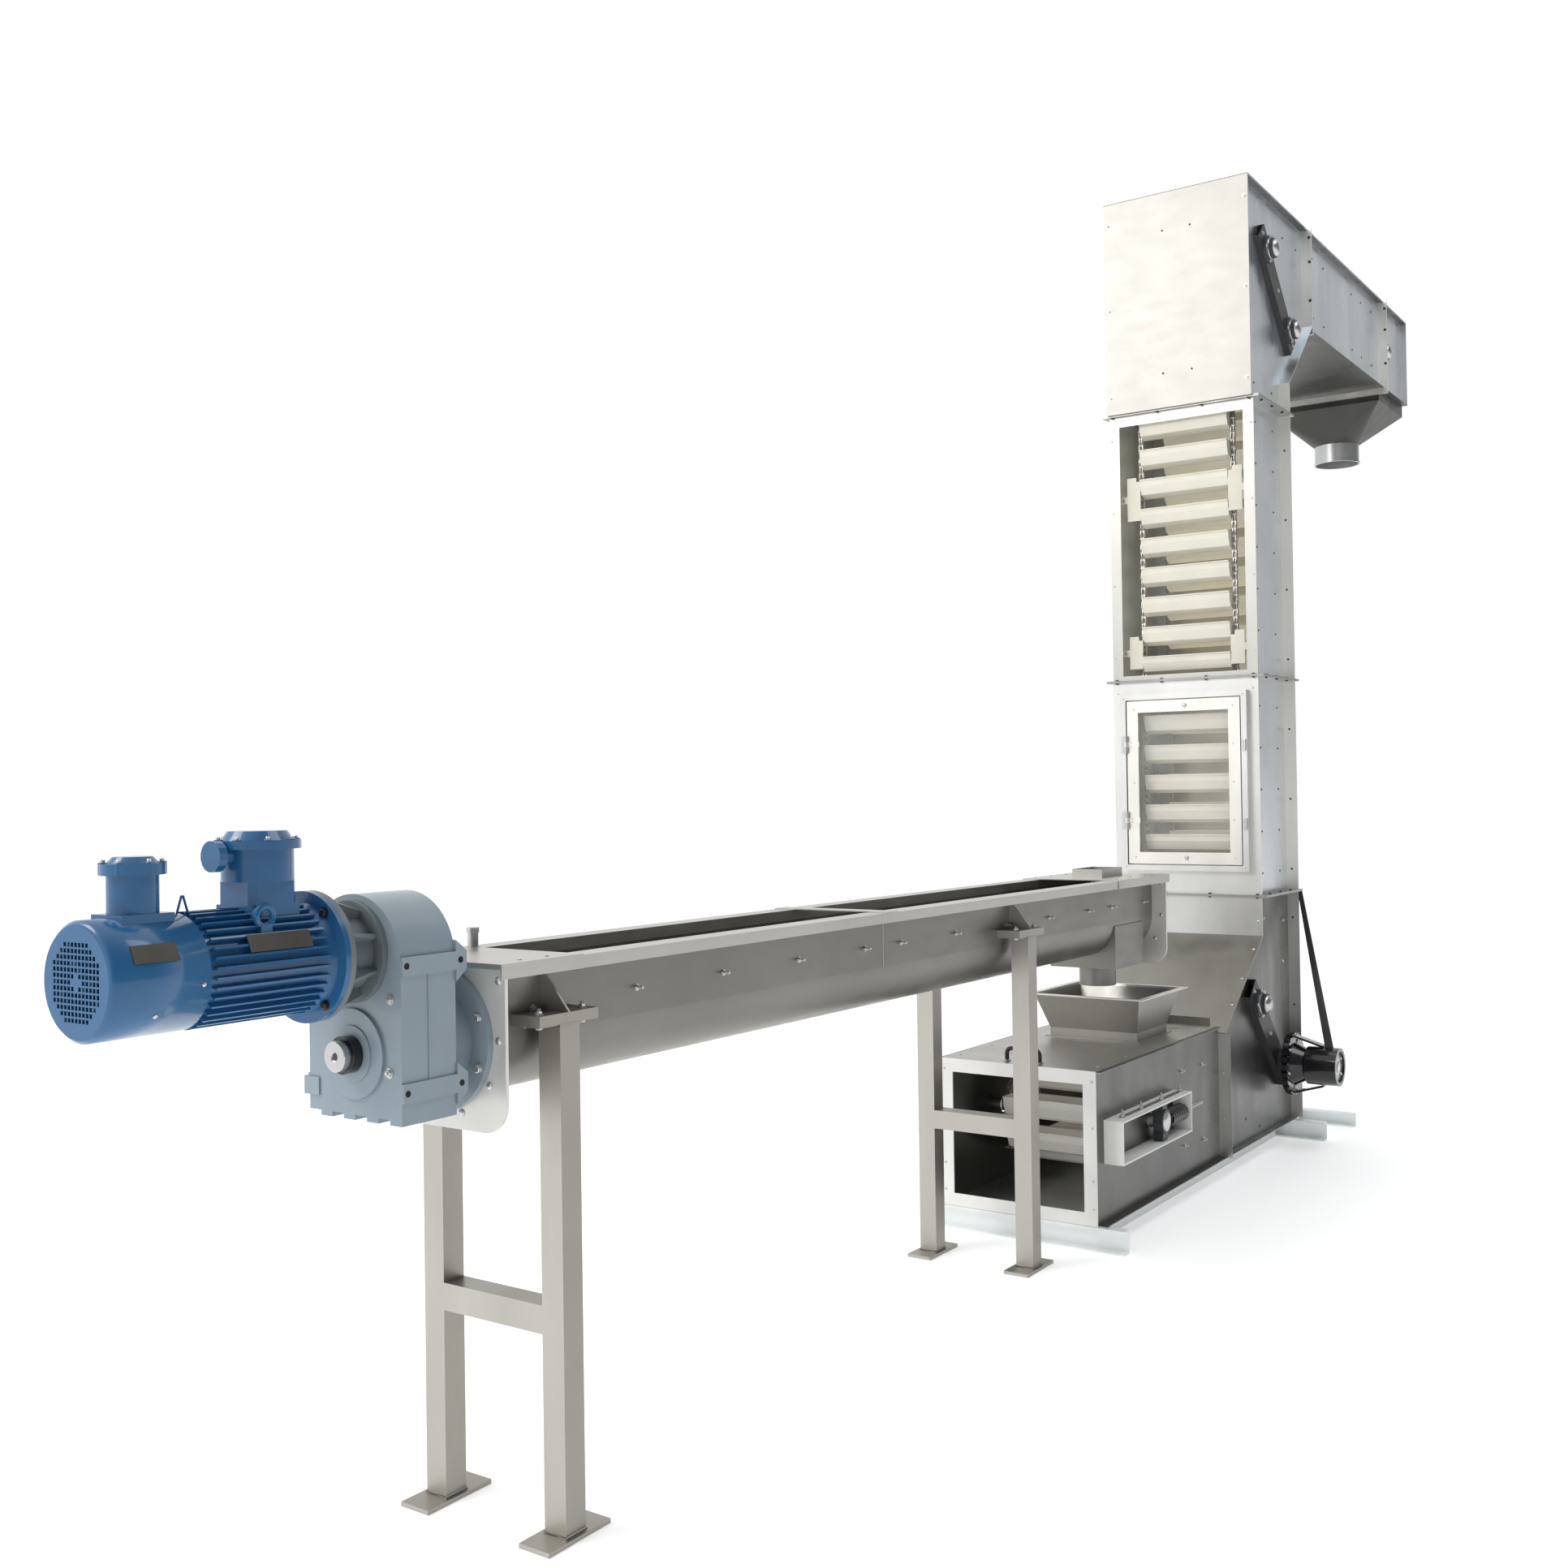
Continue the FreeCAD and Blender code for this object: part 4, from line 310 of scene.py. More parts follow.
FINISH = {
    "base_paint": paint("base_white_paint", (0.92, 0.95, 0.96), 0.40),
    "sheet_steel": sheet_metal("rolled_stainless", (0.56, 0.57, 0.57), 0.36),
    "white_steel": paint("off_white_paint", (0.88, 0.88, 0.85), 0.42),
    "guide_plastic": plastic("pale_guide_plastic", (0.74, 0.72, 0.62), 0.5),
    "black_plastic": plastic("black_plastic", (0.02, 0.02, 0.02), 0.4),
    # Painted light: the door's sheet is toned paler to make up for the dark floor that it reflects.
    "door_steel": sheet_metal("door_brushed_steel", (0.80, 0.79, 0.74), 0.36, (1, 1, 40), uneven=0.06),
    "clear_pane": clear_sheet("clear_acrylic"),
    "zinc_steel": sheet_metal("zinc_plated", (0.60, 0.60, 0.60), 0.28, (1, 1, 1)),
    "chain_steel": sheet_metal("bright_chain_steel", (0.62, 0.61, 0.58), 0.32, (1, 1, 1)),
    "bucket_plastic": plastic("cream_bucket_plastic", (0.80, 0.77, 0.67), 0.42, 0.08),
    "dark_steel": paint("dark_satin_paint", (0.035, 0.035, 0.035), 0.38),
    "cast_housing": cast("dark_cast_housing", (0.05, 0.055, 0.06), 0.42),
    "spring_steel": sheet_metal("spring_steel", (0.16, 0.16, 0.16), 0.36, (1, 1, 1)),
    # Painted reflection and light: the trough is dark for the dark floor it reflects, and its rim is painted
    # pale.
    "brushed_steel": sheet_metal("trough_brushed_steel", (0.225, 0.217, 0.20), 0.34, (1, 1, 60), streak=3.0,
                                 lit_above=(RIM_LOW_Z, (0.50, 0.49, 0.46))),
    # Painted light: the legs' faces towards the feed end are painted paler.
    "leg_steel": sheet_metal("leg_brushed_steel", (0.35, 0.335, 0.30), 0.38, (1, 1, 30), uneven=0.12,
                              front=(0.47, 0.455, 0.42)),
    "gearbox_paint": paint("blue_grey_paint", (0.28, 0.345, 0.395), 0.32, 0.06, 0.0, 0.25),
    "motor_paint": paint("glossy_blue_paint", BLUE, 0.24, 0.08, 0.0, 0.35),
    "black_gloss": paint("gloss_black_paint", (0.010, 0.010, 0.012), 0.16, 0.1, 0.0, 0.6),
}

# Copies of the one stainless sheet, each toned for the light, shade and reflections its pieces get: painted
# light and shade. The inlet box and boot sides are dark, a painted reflection of the dark floor, with painted
# light on their faces towards the feed end.
LOW_SHEET = sheet_metal("low_stainless", (0.155, 0.158, 0.15), 0.32, uneven=0.14, front=(0.60, 0.60, 0.58))
BOOT_SHEET = sheet_metal("boot_stainless", (0.15, 0.152, 0.146), 0.30, uneven=0.14, front=(0.66, 0.66, 0.63))
# Painted light: the upright face at the top of the slope plate is painted paler than the slope.
SLOPE_SHEET = sheet_metal("slope_stainless", (0.30, 0.292, 0.262), 0.34,
                          lit_above=(SLOPE_TOP_Z, (0.62, 0.62, 0.60)))
BOX_TOP_SHEET = sheet_metal("lid_stainless", (0.44, 0.43, 0.40), 0.36)
# Painted highlight: the hopper's rim is painted pale from its height up.
HOPPER_SHEET = sheet_metal("hopper_stainless", (0.36, 0.355, 0.335), 0.32,
                           lit_above=(HOPPER_RIM_Z, (0.66, 0.65, 0.61)))
# Painted light and shade: faces towards the feed end are painted pale, and faces that look down near black.
BLUISH_SHEET = sheet_metal("upper_stainless", (0.68, 0.72, 0.75), 0.30, uneven=0.16, streak=0.06,
                           front=(0.92, 0.89, 0.82), shaded_under=(0.09, 0.09, 0.085))
# Painted shade: the chute, the arm's floor and the head's slope plate are near black, for the shade inside
# and beneath the arm.
CHUTE_SHEET = sheet_metal("chute_stainless", (0.075, 0.075, 0.070), 0.34)
HEAD_SHEET = sheet_metal("head_front_stainless", (0.445, 0.438, 0.41), 0.44, uneven=0.03, streak=2.0)
FRONT_SHEET = sheet_metal("front_stainless", (0.52, 0.515, 0.49), 0.40, uneven=0.06)
# Painted light: the door section's front is toned paler to make up for the dark floor that it reflects.
DOOR_FRONT_SHEET = sheet_metal("door_front_stainless", (0.70, 0.70, 0.685), 0.38, uneven=0.07)
# Painted light: the rear walls are toned pale so that the inside of the casing looks lit.
INNER_SHEET = sheet_metal("inner_stainless", (0.62, 0.61, 0.58), 0.40, metal=0.6)
# Painted light: the joint strips are paler from the arm's height up than on the tower.
JOINT_SHEET = sheet_metal("joint_stainless", (0.36, 0.36, 0.345), 0.34, lit_above=(ARM_LOW_Z, (0.86, 0.85, 0.81)))
# Painted shade and light: near black for the shaded lip of the top plates, lighter from the roof face up.
TOP_SHEET = sheet_metal("top_stainless", (0.10, 0.10, 0.095), 0.42, (1, 30, 1), uneven=0.025, streak=3.0,
                        lit_above=(ROOF_FACE_Z, (0.48, 0.48, 0.465)))
PLATE_SHEET = sheet_metal("end_plate_stainless", (0.78, 0.77, 0.73), 0.36, metal=0.4, uneven=0.12)
NODE_FINISH = {
    "inlet_box_sides": LOW_SHEET,
    "boot_sides": BOOT_SHEET,
    "boot_front_plate": SLOPE_SHEET,
    "inlet_box_top": BOX_TOP_SHEET,
    "hopper": HOPPER_SHEET,
    "door_section_front": DOOR_FRONT_SHEET,
    "open_section_front": FRONT_SHEET,
    "door_section_sides": BLUISH_SHEET,
    "open_section_sides": BLUISH_SHEET,
    "rear_walls": INNER_SHEET,
    # Painted light: the rear strand's buckets give off light of their own, so that they look lit in the gaps
    # between the front buckets.
    "rear_strand_buckets": plastic("lit_bucket_plastic", (0.80, 0.76, 0.64), 0.42, 0.08, 0.22),
    # Painted light: the buckets in the inlet box give off a little light of their own, lifting them out of
    # the box's shade.
    "inlet_buckets": plastic("inlet_bucket_plastic", (0.82, 0.80, 0.74), 0.42, 0.08, 0.06),
    "casing_flanges": JOINT_SHEET,
    "head_sides": BLUISH_SHEET,
    "arm_sides": BLUISH_SHEET,
    "end_sides": BLUISH_SHEET,
    "top_plates": TOP_SHEET,
    "discharge_chute": CHUTE_SHEET,
    "arm_floor": CHUTE_SHEET,
    "head_slope_plate": CHUTE_SHEET,
    "head_front": HEAD_SHEET,
    "trough_end_plates": PLATE_SHEET,
    "gearbox_cap": FINISH["black_gloss"],
    "motor_neck": paint("neck_paint", (0.17, 0.20, 0.215), 0.40, 0.08),
    "fan_cowl": fan_cowl_paint("fan_cowl_paint"),
}
NAMEPLATE = sheet_metal("bare_nameplate", (0.11, 0.102, 0.088), 0.36, (30, 1, 1))
# Painted shade: near black for the inside of open holes.
HOLE_BLACK = paint("dark_hole", (0.008, 0.008, 0.008), 0.6)

# Edges sharper than this stay crisp; the buckets' round bottoms have facets of 45 degrees
SHARP_EDGE = math.radians(32)
ROUND_BUCKET = math.radians(50)

SLOT_OF = {part["node"]: part["material_slot"] for part in frame["record"]["subparts"]}


def dress_frame():
    """Give every frame piece its finish and its shading."""
    for name, obj in nodes.items():
        obj.data.materials.clear()
        obj.data.materials.append(NODE_FINISH.get(name, FINISH[SLOT_OF[name]]))
        smooth_by_angle(obj.data, ROUND_BUCKET if name.endswith("_buckets") else SHARP_EDGE)


def smooth_by_angle(mesh, limit=SHARP_EDGE):
    """Smooth shading, with edges sharper than the limit kept crisp."""
    mesh.shade_smooth()
    mesh.set_sharp_from_angle(angle=limit)


# Small parts: each kit becomes one joined mesh

def spaced(start, end, count):
    return [start + (end - start) * i / (count - 1) for i in range(count)]


class Kit:
    """Collects small solids of one finish."""

    def __init__(self):
        self.points = []
        self.faces = []

    def add(self, points, faces):
        start = len(self.points)
        self.points += [tuple(point) for point in points]
        self.faces += [tuple(start + i for i in face) for face in faces]

    def turned(self, at, axis, profile, sides=12):
        """A turned form from pairs of a distance along the axis and a radius."""
        axis = Vector(axis).normalized()
        u = axis.orthogonal().normalized()
        w = axis.cross(u)
        points = []
        for along, radius in profile:
            centre = Vector(at) + axis * along
            for i in range(sides):
                angle = 2 * math.pi * i / sides
                points.append(centre + u * (radius * math.cos(angle)) + w * (radius * math.sin(angle)))
        faces = []
        for ring in range(len(profile) - 1):
            a, b = ring * sides, (ring + 1) * sides
            for i in range(sides):
                j = (i + 1) % sides
                faces.append((a + i, a + j, b + j, b + i))
        last = (len(profile) - 1) * sides
        faces.append(tuple(reversed(range(sides))))
        faces.append(tuple(range(last, last + sides)))
        self.add(points, faces)

    def plate(self, outline, push):
        """A flat outline of points in order, pushed along a vector."""
        count = len(outline)
        points = [Vector(p) for p in outline]
        points += [p + Vector(push) for p in points]
        faces = [tuple(range(count)), tuple(reversed(range(count, 2 * count)))]
        faces += [(i, (i + 1) % count, count + (i + 1) % count, count + i) for i in range(count)]
        self.add(points, faces)

    def block(self, low, high):
        (x0, y0, z0), (x1, y1, z1) = low, high
        self.plate([(x0, y0, z0), (x1, y0, z0), (x1, y1, z0), (x0, y1, z0)], (0, 0, z1 - z0))

    def tube(self, path, radius, sides=8, closed=False):
        path = [Vector(p) for p in path]
        count = len(path)
        points, faces = [], []
        for i, p in enumerate(path):
            after = path[(i + 1) % count] if closed or i < count - 1 else p
            before = path[i - 1] if closed or i else p
            along = (after - before).normalized()
            u = along.cross(RIGHT if abs(along.y) < 0.9 else UP).normalized()
            w = along.cross(u)
            for k in range(sides):
                angle = 2 * math.pi * k / sides
                points.append(p + u * (radius * math.cos(angle)) + w * (radius * math.sin(angle)))
        for i in range(count if closed else count - 1):
            a, b = i * sides, ((i + 1) % count) * sides
            faces += [(a + k, a + (k + 1) % sides, b + (k + 1) % sides, b + k) for k in range(sides)]
        if not closed:
            faces.append(tuple(reversed(range(sides))))
            faces.append(tuple(range((count - 1) * sides, count * sides)))
        self.add(points, faces)

    def bolt(self, at, axis, size):
        """Hex head on a washer; size is half the width across the corners."""
        at, axis = Vector(at), Vector(axis)
        self.turned(at, axis, [(-0.0005, 1.3 * size), (0.2 * size, 1.3 * size)])
        self.turned(at, axis, [(0.1 * size, size), (0.75 * size, size), (0.9 * size, 0.8 * size)], 6)

    def screw(self, at, axis, size):
        """Round-headed screw or rivet."""
        dome = [(0.25 * size, 0.95 * size), (0.5 * size, 0.62 * size), (0.6 * size, 0.15 * size)]
        self.turned(at, axis, [(-0.0005, size)] + dome, 10)

    def stud(self, at, axis, size, length):
        """Threaded end that stands out of its washer and nut."""
        self.bolt(at, axis, size)
        turns = max(2, round(length / 0.002))
        profile = [(0.002 * i / 2, size * (0.55 if i % 2 else 0.48)) for i in range(2 * turns)]
        self.turned(at, axis, profile, 8)

    def loose(self, name):
        """The collected solids as an object that rides on nothing yet."""
        mesh = bpy.data.meshes.new(name)
        mesh.from_pydata(self.points, [], self.faces)
        shell = bmesh.new()
        shell.from_mesh(mesh)
        bmesh.ops.recalc_face_normals(shell, faces=shell.faces)
        shell.to_mesh(mesh)
        shell.free()
        obj = bpy.data.objects.new(name, mesh)
        scene.collection.objects.link(obj)
        return obj

    def piece(self, name, slot, body="root", finish=None):
        obj = self.loose(name)
        obj.data.materials.append(finish or FINISH[slot])
        smooth_by_angle(obj.data)
        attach(obj, body)
        return obj


# Bucket line

def chain_runs():
    """The chain's route as straight runs and turns, in the order of the wheels."""
    r = WHEEL_R
    (tx, tz), (bx, bz), (hx, hz), (ex, ez), (kx, kz), (cx, cz) = WHEELS
    return [
        ((tx, tz - r), (bx, bz - r)), ((bx, bz), -90, 90),
        ((bx + r, bz), (hx - r, hz)), ((hx, hz), 180, -90),
        ((hx, hz + r), (ex, ez - r)), ((ex, ez), -90, 180),
        ((ex, ez + r), (kx, kz + r)), ((kx, kz), 90, 90),
        ((kx - r, kz), (cx + r, cz)), ((cx, cz), 0, -90),
        ((cx, cz - r), (tx, tz + r)), ((tx, tz), 90, 180),
    ]


def run_length(run):
    if len(run) == 2:
        return math.dist(*run)
    return WHEEL_R * math.radians(abs(run[2]))


def chain_point(distance):
    for run in chain_runs():
        length = run_length(run)
        if distance <= length:
            share = distance / length
            if len(run) == 2:
                (x0, z0), (x1, z1) = run
                return x0 + share * (x1 - x0), z0 + share * (z1 - z0)
            angle = math.radians(run[1] + run[2] * share)
            return run[0][0] + WHEEL_R * math.cos(angle), run[0][1] + WHEEL_R * math.sin(angle)
        distance -= length
    return chain_point(0)


def evenly_on_chain(pitch):
    total = sum(run_length(run) for run in chain_runs())
    count = 2 * round(total / pitch / 2)
    return [chain_point(total * i / count) for i in range(count)]


LINK_HALF_H = 0.0095
LINK_T = 0.0018
ROLLER_R = 0.0075
INNER_PLATE_Y = 0.0052
OUTER_PLATE_Y = 0.0076
PIN_R = 0.0038
CHAIN_HALF_W = 0.010


def link_plate(kit, a, b, y):
    """Plate with two round ends between two pins."""
    turn = math.atan2(b[1] - a[1], b[0] - a[0])
    outline = []
    for centre, start in ((b, -90), (a, 90)):
        for step in range(5):
            angle = turn + math.radians(start + 45 * step)
            x = centre[0] + LINK_HALF_H * math.cos(angle)
            z = centre[1] + LINK_HALF_H * math.sin(angle)
            outline.append((x, y, z))
    kit.plate(outline, (0, LINK_T, 0))


def build_chain_links():
    kit = Kit()
    pins = evenly_on_chain(CHAIN_PITCH)
    for middle in (-CHAIN_Y, CHAIN_Y):
        for i, (x, z) in enumerate(pins):
            after = pins[(i + 1) % len(pins)]
            near = OUTER_PLATE_Y if i % 2 else INNER_PLATE_Y
            for y in (middle - near - LINK_T / 2, middle + near - LINK_T / 2):
                link_plate(kit, (x, z), after, y)
            reach = INNER_PLATE_Y - LINK_T / 2
            kit.turned((x, middle - reach, z), LEFT, [(0, ROLLER_R), (2 * reach, ROLLER_R)], 8)
            kit.turned((x, middle - CHAIN_HALF_W, z), LEFT, [(0, PIN_R), (2 * CHAIN_HALF_W, PIN_R)], 6)
    chain = kit.piece("chain_links", "chain_steel")
    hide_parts("carrying_chains")


BUCKET_COUNT = 112
PIVOT_Y = 0.209


def build_bucket_pivots():
    """Collar and split-pin end where each bucket hangs in the two chains."""
    kit = Kit()
    total = sum(run_length(run) for run in chain_runs())
    for i in range(BUCKET_COUNT):
        x, z = chain_point(total * i / BUCKET_COUNT)
        for side in (LEFT, RIGHT):
            at = Vector((x, 0, z)) + side * PIVOT_Y
            kit.turned(at, side, [(-0.001, 0.010), (0.005, 0.010), (0.0062, 0.008)], 8)
            kit.turned(at, side, [(0, 0.0045), (0.0105, 0.0045), (0.012, 0.0025)], 8)
    kit.piece("bucket_pivots", "zinc_steel")


# Casing

JOINT_BOLT_Y = (-0.303, -0.099, 0.099, 0.303)
JOINT_SIDE_X = (-0.330, -0.190, -0.050)
JOINT_EDGE_Y = 0.333
JOINT_REAR_X = 0.060
EDGE_SCREW_Y = 0.304
CASING_PITCH = 0.178


def build_joint_bolts():
    """Bolt and nut through each pair of joint flanges."""
    kit = Kit()
    for z in (BOOT_JOINT_Z, DOOR_JOINT_Z, HEAD_JOINT_Z):
        places = [(-0.4075, y) for y in JOINT_BOLT_Y] + [(JOINT_REAR_X, y) for y in JOINT_BOLT_Y]
        places += [(x, side * JOINT_EDGE_Y) for x in JOINT_SIDE_X for side in (-1, 1)]
        for x, y in places:
            kit.bolt((x, y, z + JOINT_HALF_T), UP, 0.0055)
            kit.bolt((x, y, z - JOINT_HALF_T), DOWN, 0.0055)
    for x in (0.415, 1.772):
        for z in (3.778, 3.957, 4.070):
            for side in (-1, 1):
                y = side * 0.3315
                kit.bolt((x - JOINT_HALF_T, y, z), BACK, 0.0055)
                kit.bolt((x + JOINT_HALF_T, y, z), AHEAD, 0.0055)
    kit.piece("joint_bolts", "dark_steel")


def build_casing_screws():
    """Sheet screws along the walls of the tower, the head and the arm."""
    kit = Kit()
    upper_rows = spaced(2.915 - 4 * CASING_PITCH, 2.915 + CASING_PITCH, 6)
    lower_rows = spaced(1.170, 1.170 + 4 * CASING_PITCH, 5)
    for side in (LEFT, RIGHT):
        wall = side * WALL_Y
        for z in upper_rows + lower_rows:
            for x in (-0.295, -0.062):
                kit.screw(wall + Vector((x, 0, z)), side, 0.0048)
        for x in (0.592, 0.769, 1.263, 1.439, 1.640):
            for z in (3.745, 4.027):
                kit.screw(wall + Vector((x, 0, z)), side, 0.0052)
        for x, z in ((0.135, 3.998), (0.331, 3.998), (-0.300, 3.260), (-0.060, 3.260)):
            kit.screw(wall + Vector((x, 0, z)), side, 0.0052)
        for z in spaced(1.174, 3.023, 7) + [0.577, 0.960]:
            kit.screw(side * 0.314 + Vector((REAR_X - 0.007, 0, z)), BACK, 0.0048)
    kit.piece("casing_screws", "dark_steel")


SLOPE_LOW = Vector((-0.880, 0, 0.572))
SLOPE_TOP = Vector((-0.397, 0, 0.914))
SLOPE_NORMAL = Vector((SLOPE_LOW.z - SLOPE_TOP.z, 0, SLOPE_TOP.x - SLOPE_LOW.x)).normalized()


def slope_point(x, y):
    """Point on the outer face of the slope plate."""
    share = (x - SLOPE_LOW.x) / (SLOPE_TOP.x - SLOPE_LOW.x)
    point = SLOPE_LOW.lerp(SLOPE_TOP, share)
    return Vector((point.x, y, point.z))


def build_front_screws():
    """Bright bolts on the head's front plate, the slope plate and the window frame."""
    kit = Kit()
    for side in (-1, 1):
        y = side * EDGE_SCREW_Y
        for z in (4.020, 3.642, 3.257):
            kit.bolt((HEAD_FRONT_X, y, z), BACK, 0.0075)
        for x in (-0.468, -0.619, -0.748):
            kit.screw(slope_point(x, y), SLOPE_NORMAL, 0.0062)
        kit.screw((FRONT_X, y, 0.974), BACK, 0.0062)
        for z in spaced(2.110, 3.070, 4):
            kit.screw((FRONT_X, side * 0.309, z), BACK, 0.0042)
        for z in (1.147, 1.954):
            kit.screw((FRONT_X, side * 0.300, z), BACK, 0.0042)
        kit.screw((RING_FACE_X, side * 0.263, 1.929), BACK, 0.0038)
        kit.screw((RING_FACE_X, side * 0.263, 1.199), BACK, 0.0038)
    kit.piece("front_screws", "zinc_steel")


def build_open_holes():
    """Dark spare holes in the plates, drawn as thin discs: painted shade for the dark inside of each hole."""
    kit = Kit()
    for y, z in ((0.054, 3.948), (-0.069, 3.949), (-0.068, 3.330), (0.060, 3.330)):
        kit.turned((HEAD_FRONT_X, y, z), BACK, [(-0.0005, 0.0045), (0.0003, 0.0045)], 10)
    for x, z in ((-0.568, 0.177), (-0.393, 0.118)):
        for side in (LEFT, RIGHT):
            kit.turned(side * WALL_Y + Vector((x, 0, z)), side, [(-0.0005, 0.007), (0.0004, 0.007)], 10)
    for x in (-4.929, -4.7885):
        for z in (0.977, 1.2205):
            for side in (LEFT, RIGHT):
                at = Vector((x, 0, z)) + side * 0.139
                kit.turned(at, side, [(-0.0005, 0.0065), (0.0006, 0.0065)], 12)
    kit.piece("open_holes", "black_plastic", finish=HOLE_BLACK)


def build_box_studs():
    """Short studs and screws on the inlet box and the boot."""
    kit = Kit()
    for side in (LEFT, RIGHT):
        wall = side * WALL_Y
        for x, z in ((-1.282, 0.482), (-1.065, 0.474), (-1.058, 0.187), (-1.257, 0.200)):
            kit.stud(wall + Vector((x, 0, z)), side, 0.006, 0.014)
        for x, z in ((-0.035, 0.953), (-0.045, 0.774), (-0.300, 0.980)):
            kit.bolt(wall + Vector((x, 0, z)), side, 0.006)
        for z in (0.138, 0.232, 0.408, 0.562):
            kit.screw(side * 0.279 + Vector((-2.070, 0, z)), BACK, 0.0052)
        for z in (0.236, 0.415):
            kit.bolt(side * 0.309 + Vector((-0.883, 0, z)), BACK, 0.0052)
    for x in (-1.980, -1.740, -1.000):
        for y in (-0.262, 0.262):
            kit.screw((x, y, 0.598), UP, 0.0052)
    for y in (-0.062, 0.062):
        kit.turned((-2.010, y, 0.598), UP, [(-0.0005, 0.013), (0.003, 0.013), (0.0045, 0.009)], 12)
    kit.piece("box_studs", "zinc_steel")


# Bearings, take-ups and drive

BEARING_Y = 0.292
BEAM_D = 0.028
BEARING_FLANGE_T = 0.014
BEARING_L = 0.036
BEARING_BOLT_R = 0.0495


def bearing_places():
    """Each flanged bearing as a place on its seat, the seat's way out and the slant of its beam."""
    places = []
    for index, (x, z) in enumerate(WHEELS):
        if index == 0:
            continue
        seat = BEARING_Y if index == 3 else BEARING_Y + BEAM_D
        slant = 0 if index == 3 else math.radians(45)
        for side in (LEFT, RIGHT):
            driven = index == 1 and side == RIGHT
            places.append((Vector((x, 0, z)) + side * seat, side, slant, driven))
    return places


def build_bearing_trim():
    """Four bolts on each bearing flange, a grease nipple and the bright domed cover."""
    bolts = Kit()
    covers = Kit()
    for at, side, slant, driven in bearing_places():
        for quarter in range(4):
            angle = slant + math.radians(45 + 90 * quarter)
            spot = at + Vector((math.cos(angle), 0, math.sin(angle))) * BEARING_BOLT_R
            bolts.bolt(spot + side * BEARING_FLANGE_T, side, 0.0072)
        nipple = at + side * (BEARING_FLANGE_T + 0.011) + Vector((0, 0, 0.041))
        bolts.turned(nipple, UP, [(-0.001, 0.005), (0.006, 0.005), (0.007, 0.003), (0.013, 0.0035)], 8)
        if not driven:
            face = at + side * BEARING_L
            dome = [(0.003, 0.036), (0.010, 0.032), (0.016, 0.022), (0.0185, 0.010), (0.019, 0.002)]
            covers.turned(face, side, [(-0.001, 0.036)] + dome, 24)
            rim = [(0, 0.0445), (0.004, 0.0445), (0.006, 0.0425)]
            covers.turned(at + side * BEARING_FLANGE_T, side, rim, 24)
    bolts.piece("bearing_bolts", "zinc_steel")
    covers.piece("bearing_covers", "zinc_steel")


BEAM_ENDS = ((WHEELS[1], WHEELS[5]), (WHEELS[2], WHEELS[4]))


def build_beam_bolts():
    """Bolts that hold the slanted bearing channels to the walls."""
    kit = Kit()
    for low, high in BEAM_ENDS:
        a = Vector((low[0], 0, low[1]))
        b = Vector((high[0], 0, high[1]))
        along = (b - a).normalized()
        for spot in (a - along * 0.078, a.lerp(b, 0.5), b + along * 0.078):
            for side in (LEFT, RIGHT):
                kit.bolt(spot + side * (WALL_Y + BEAM_D), side, 0.0072)
    kit.piece("beam_bolts", "zinc_steel")


TAKEUP_TOP_Z = 0.427
TAKEUP_LOW_Z = 0.281
TAKEUP_Y = 0.327


def build_takeup_trim():
    """Studs with nuts over a thin strap on the frame, lock nuts on the rod and the bearing's cover."""
    kit = Kit()
    for side in (-1, 1):
        y = side * TAKEUP_Y
        kit.block((-1.945, y - 0.010, TAKEUP_TOP_Z - 0.0005), (-1.380, y + 0.010, TAKEUP_TOP_Z + 0.002))
        for x in (-1.930, -1.766, -1.577, -1.393):
            kit.stud((x, y, TAKEUP_TOP_Z + 0.002), UP, 0.0075, 0.026)
        for x in (-1.930, -1.393):
            kit.bolt((x, y, TAKEUP_LOW_Z), DOWN, 0.0075)
        out = Vector((0, side, 0))
        dome = [(0, 0.034), (0.0035, 0.033), (0.0075, 0.024), (0.0095, 0.010), (0.010, 0.002)]
        kit.turned(Vector((-1.590, 0, 0.354)) + out * 0.3495, out, dome, 24)
        for x in (-1.3675, -1.352):
            kit.turned((x, y, 0.354), AHEAD, [(0, 0.0145), (0.010, 0.0145), (0.0115, 0.0125)], 6)
        thread = [(0.0015 * i, 0.0079 if i % 2 else 0.0086) for i in range(120)]
        kit.turned((-1.3515, y, 0.354), AHEAD, thread, 10)
    kit.piece("takeup_trim", "zinc_steel")


DRIVE_X = -0.177
DRIVE_Z = 0.354
SPROCKET_FACE_Y = -0.382
CAN_END_Y = -0.567
CAN_RECESS = 0.012


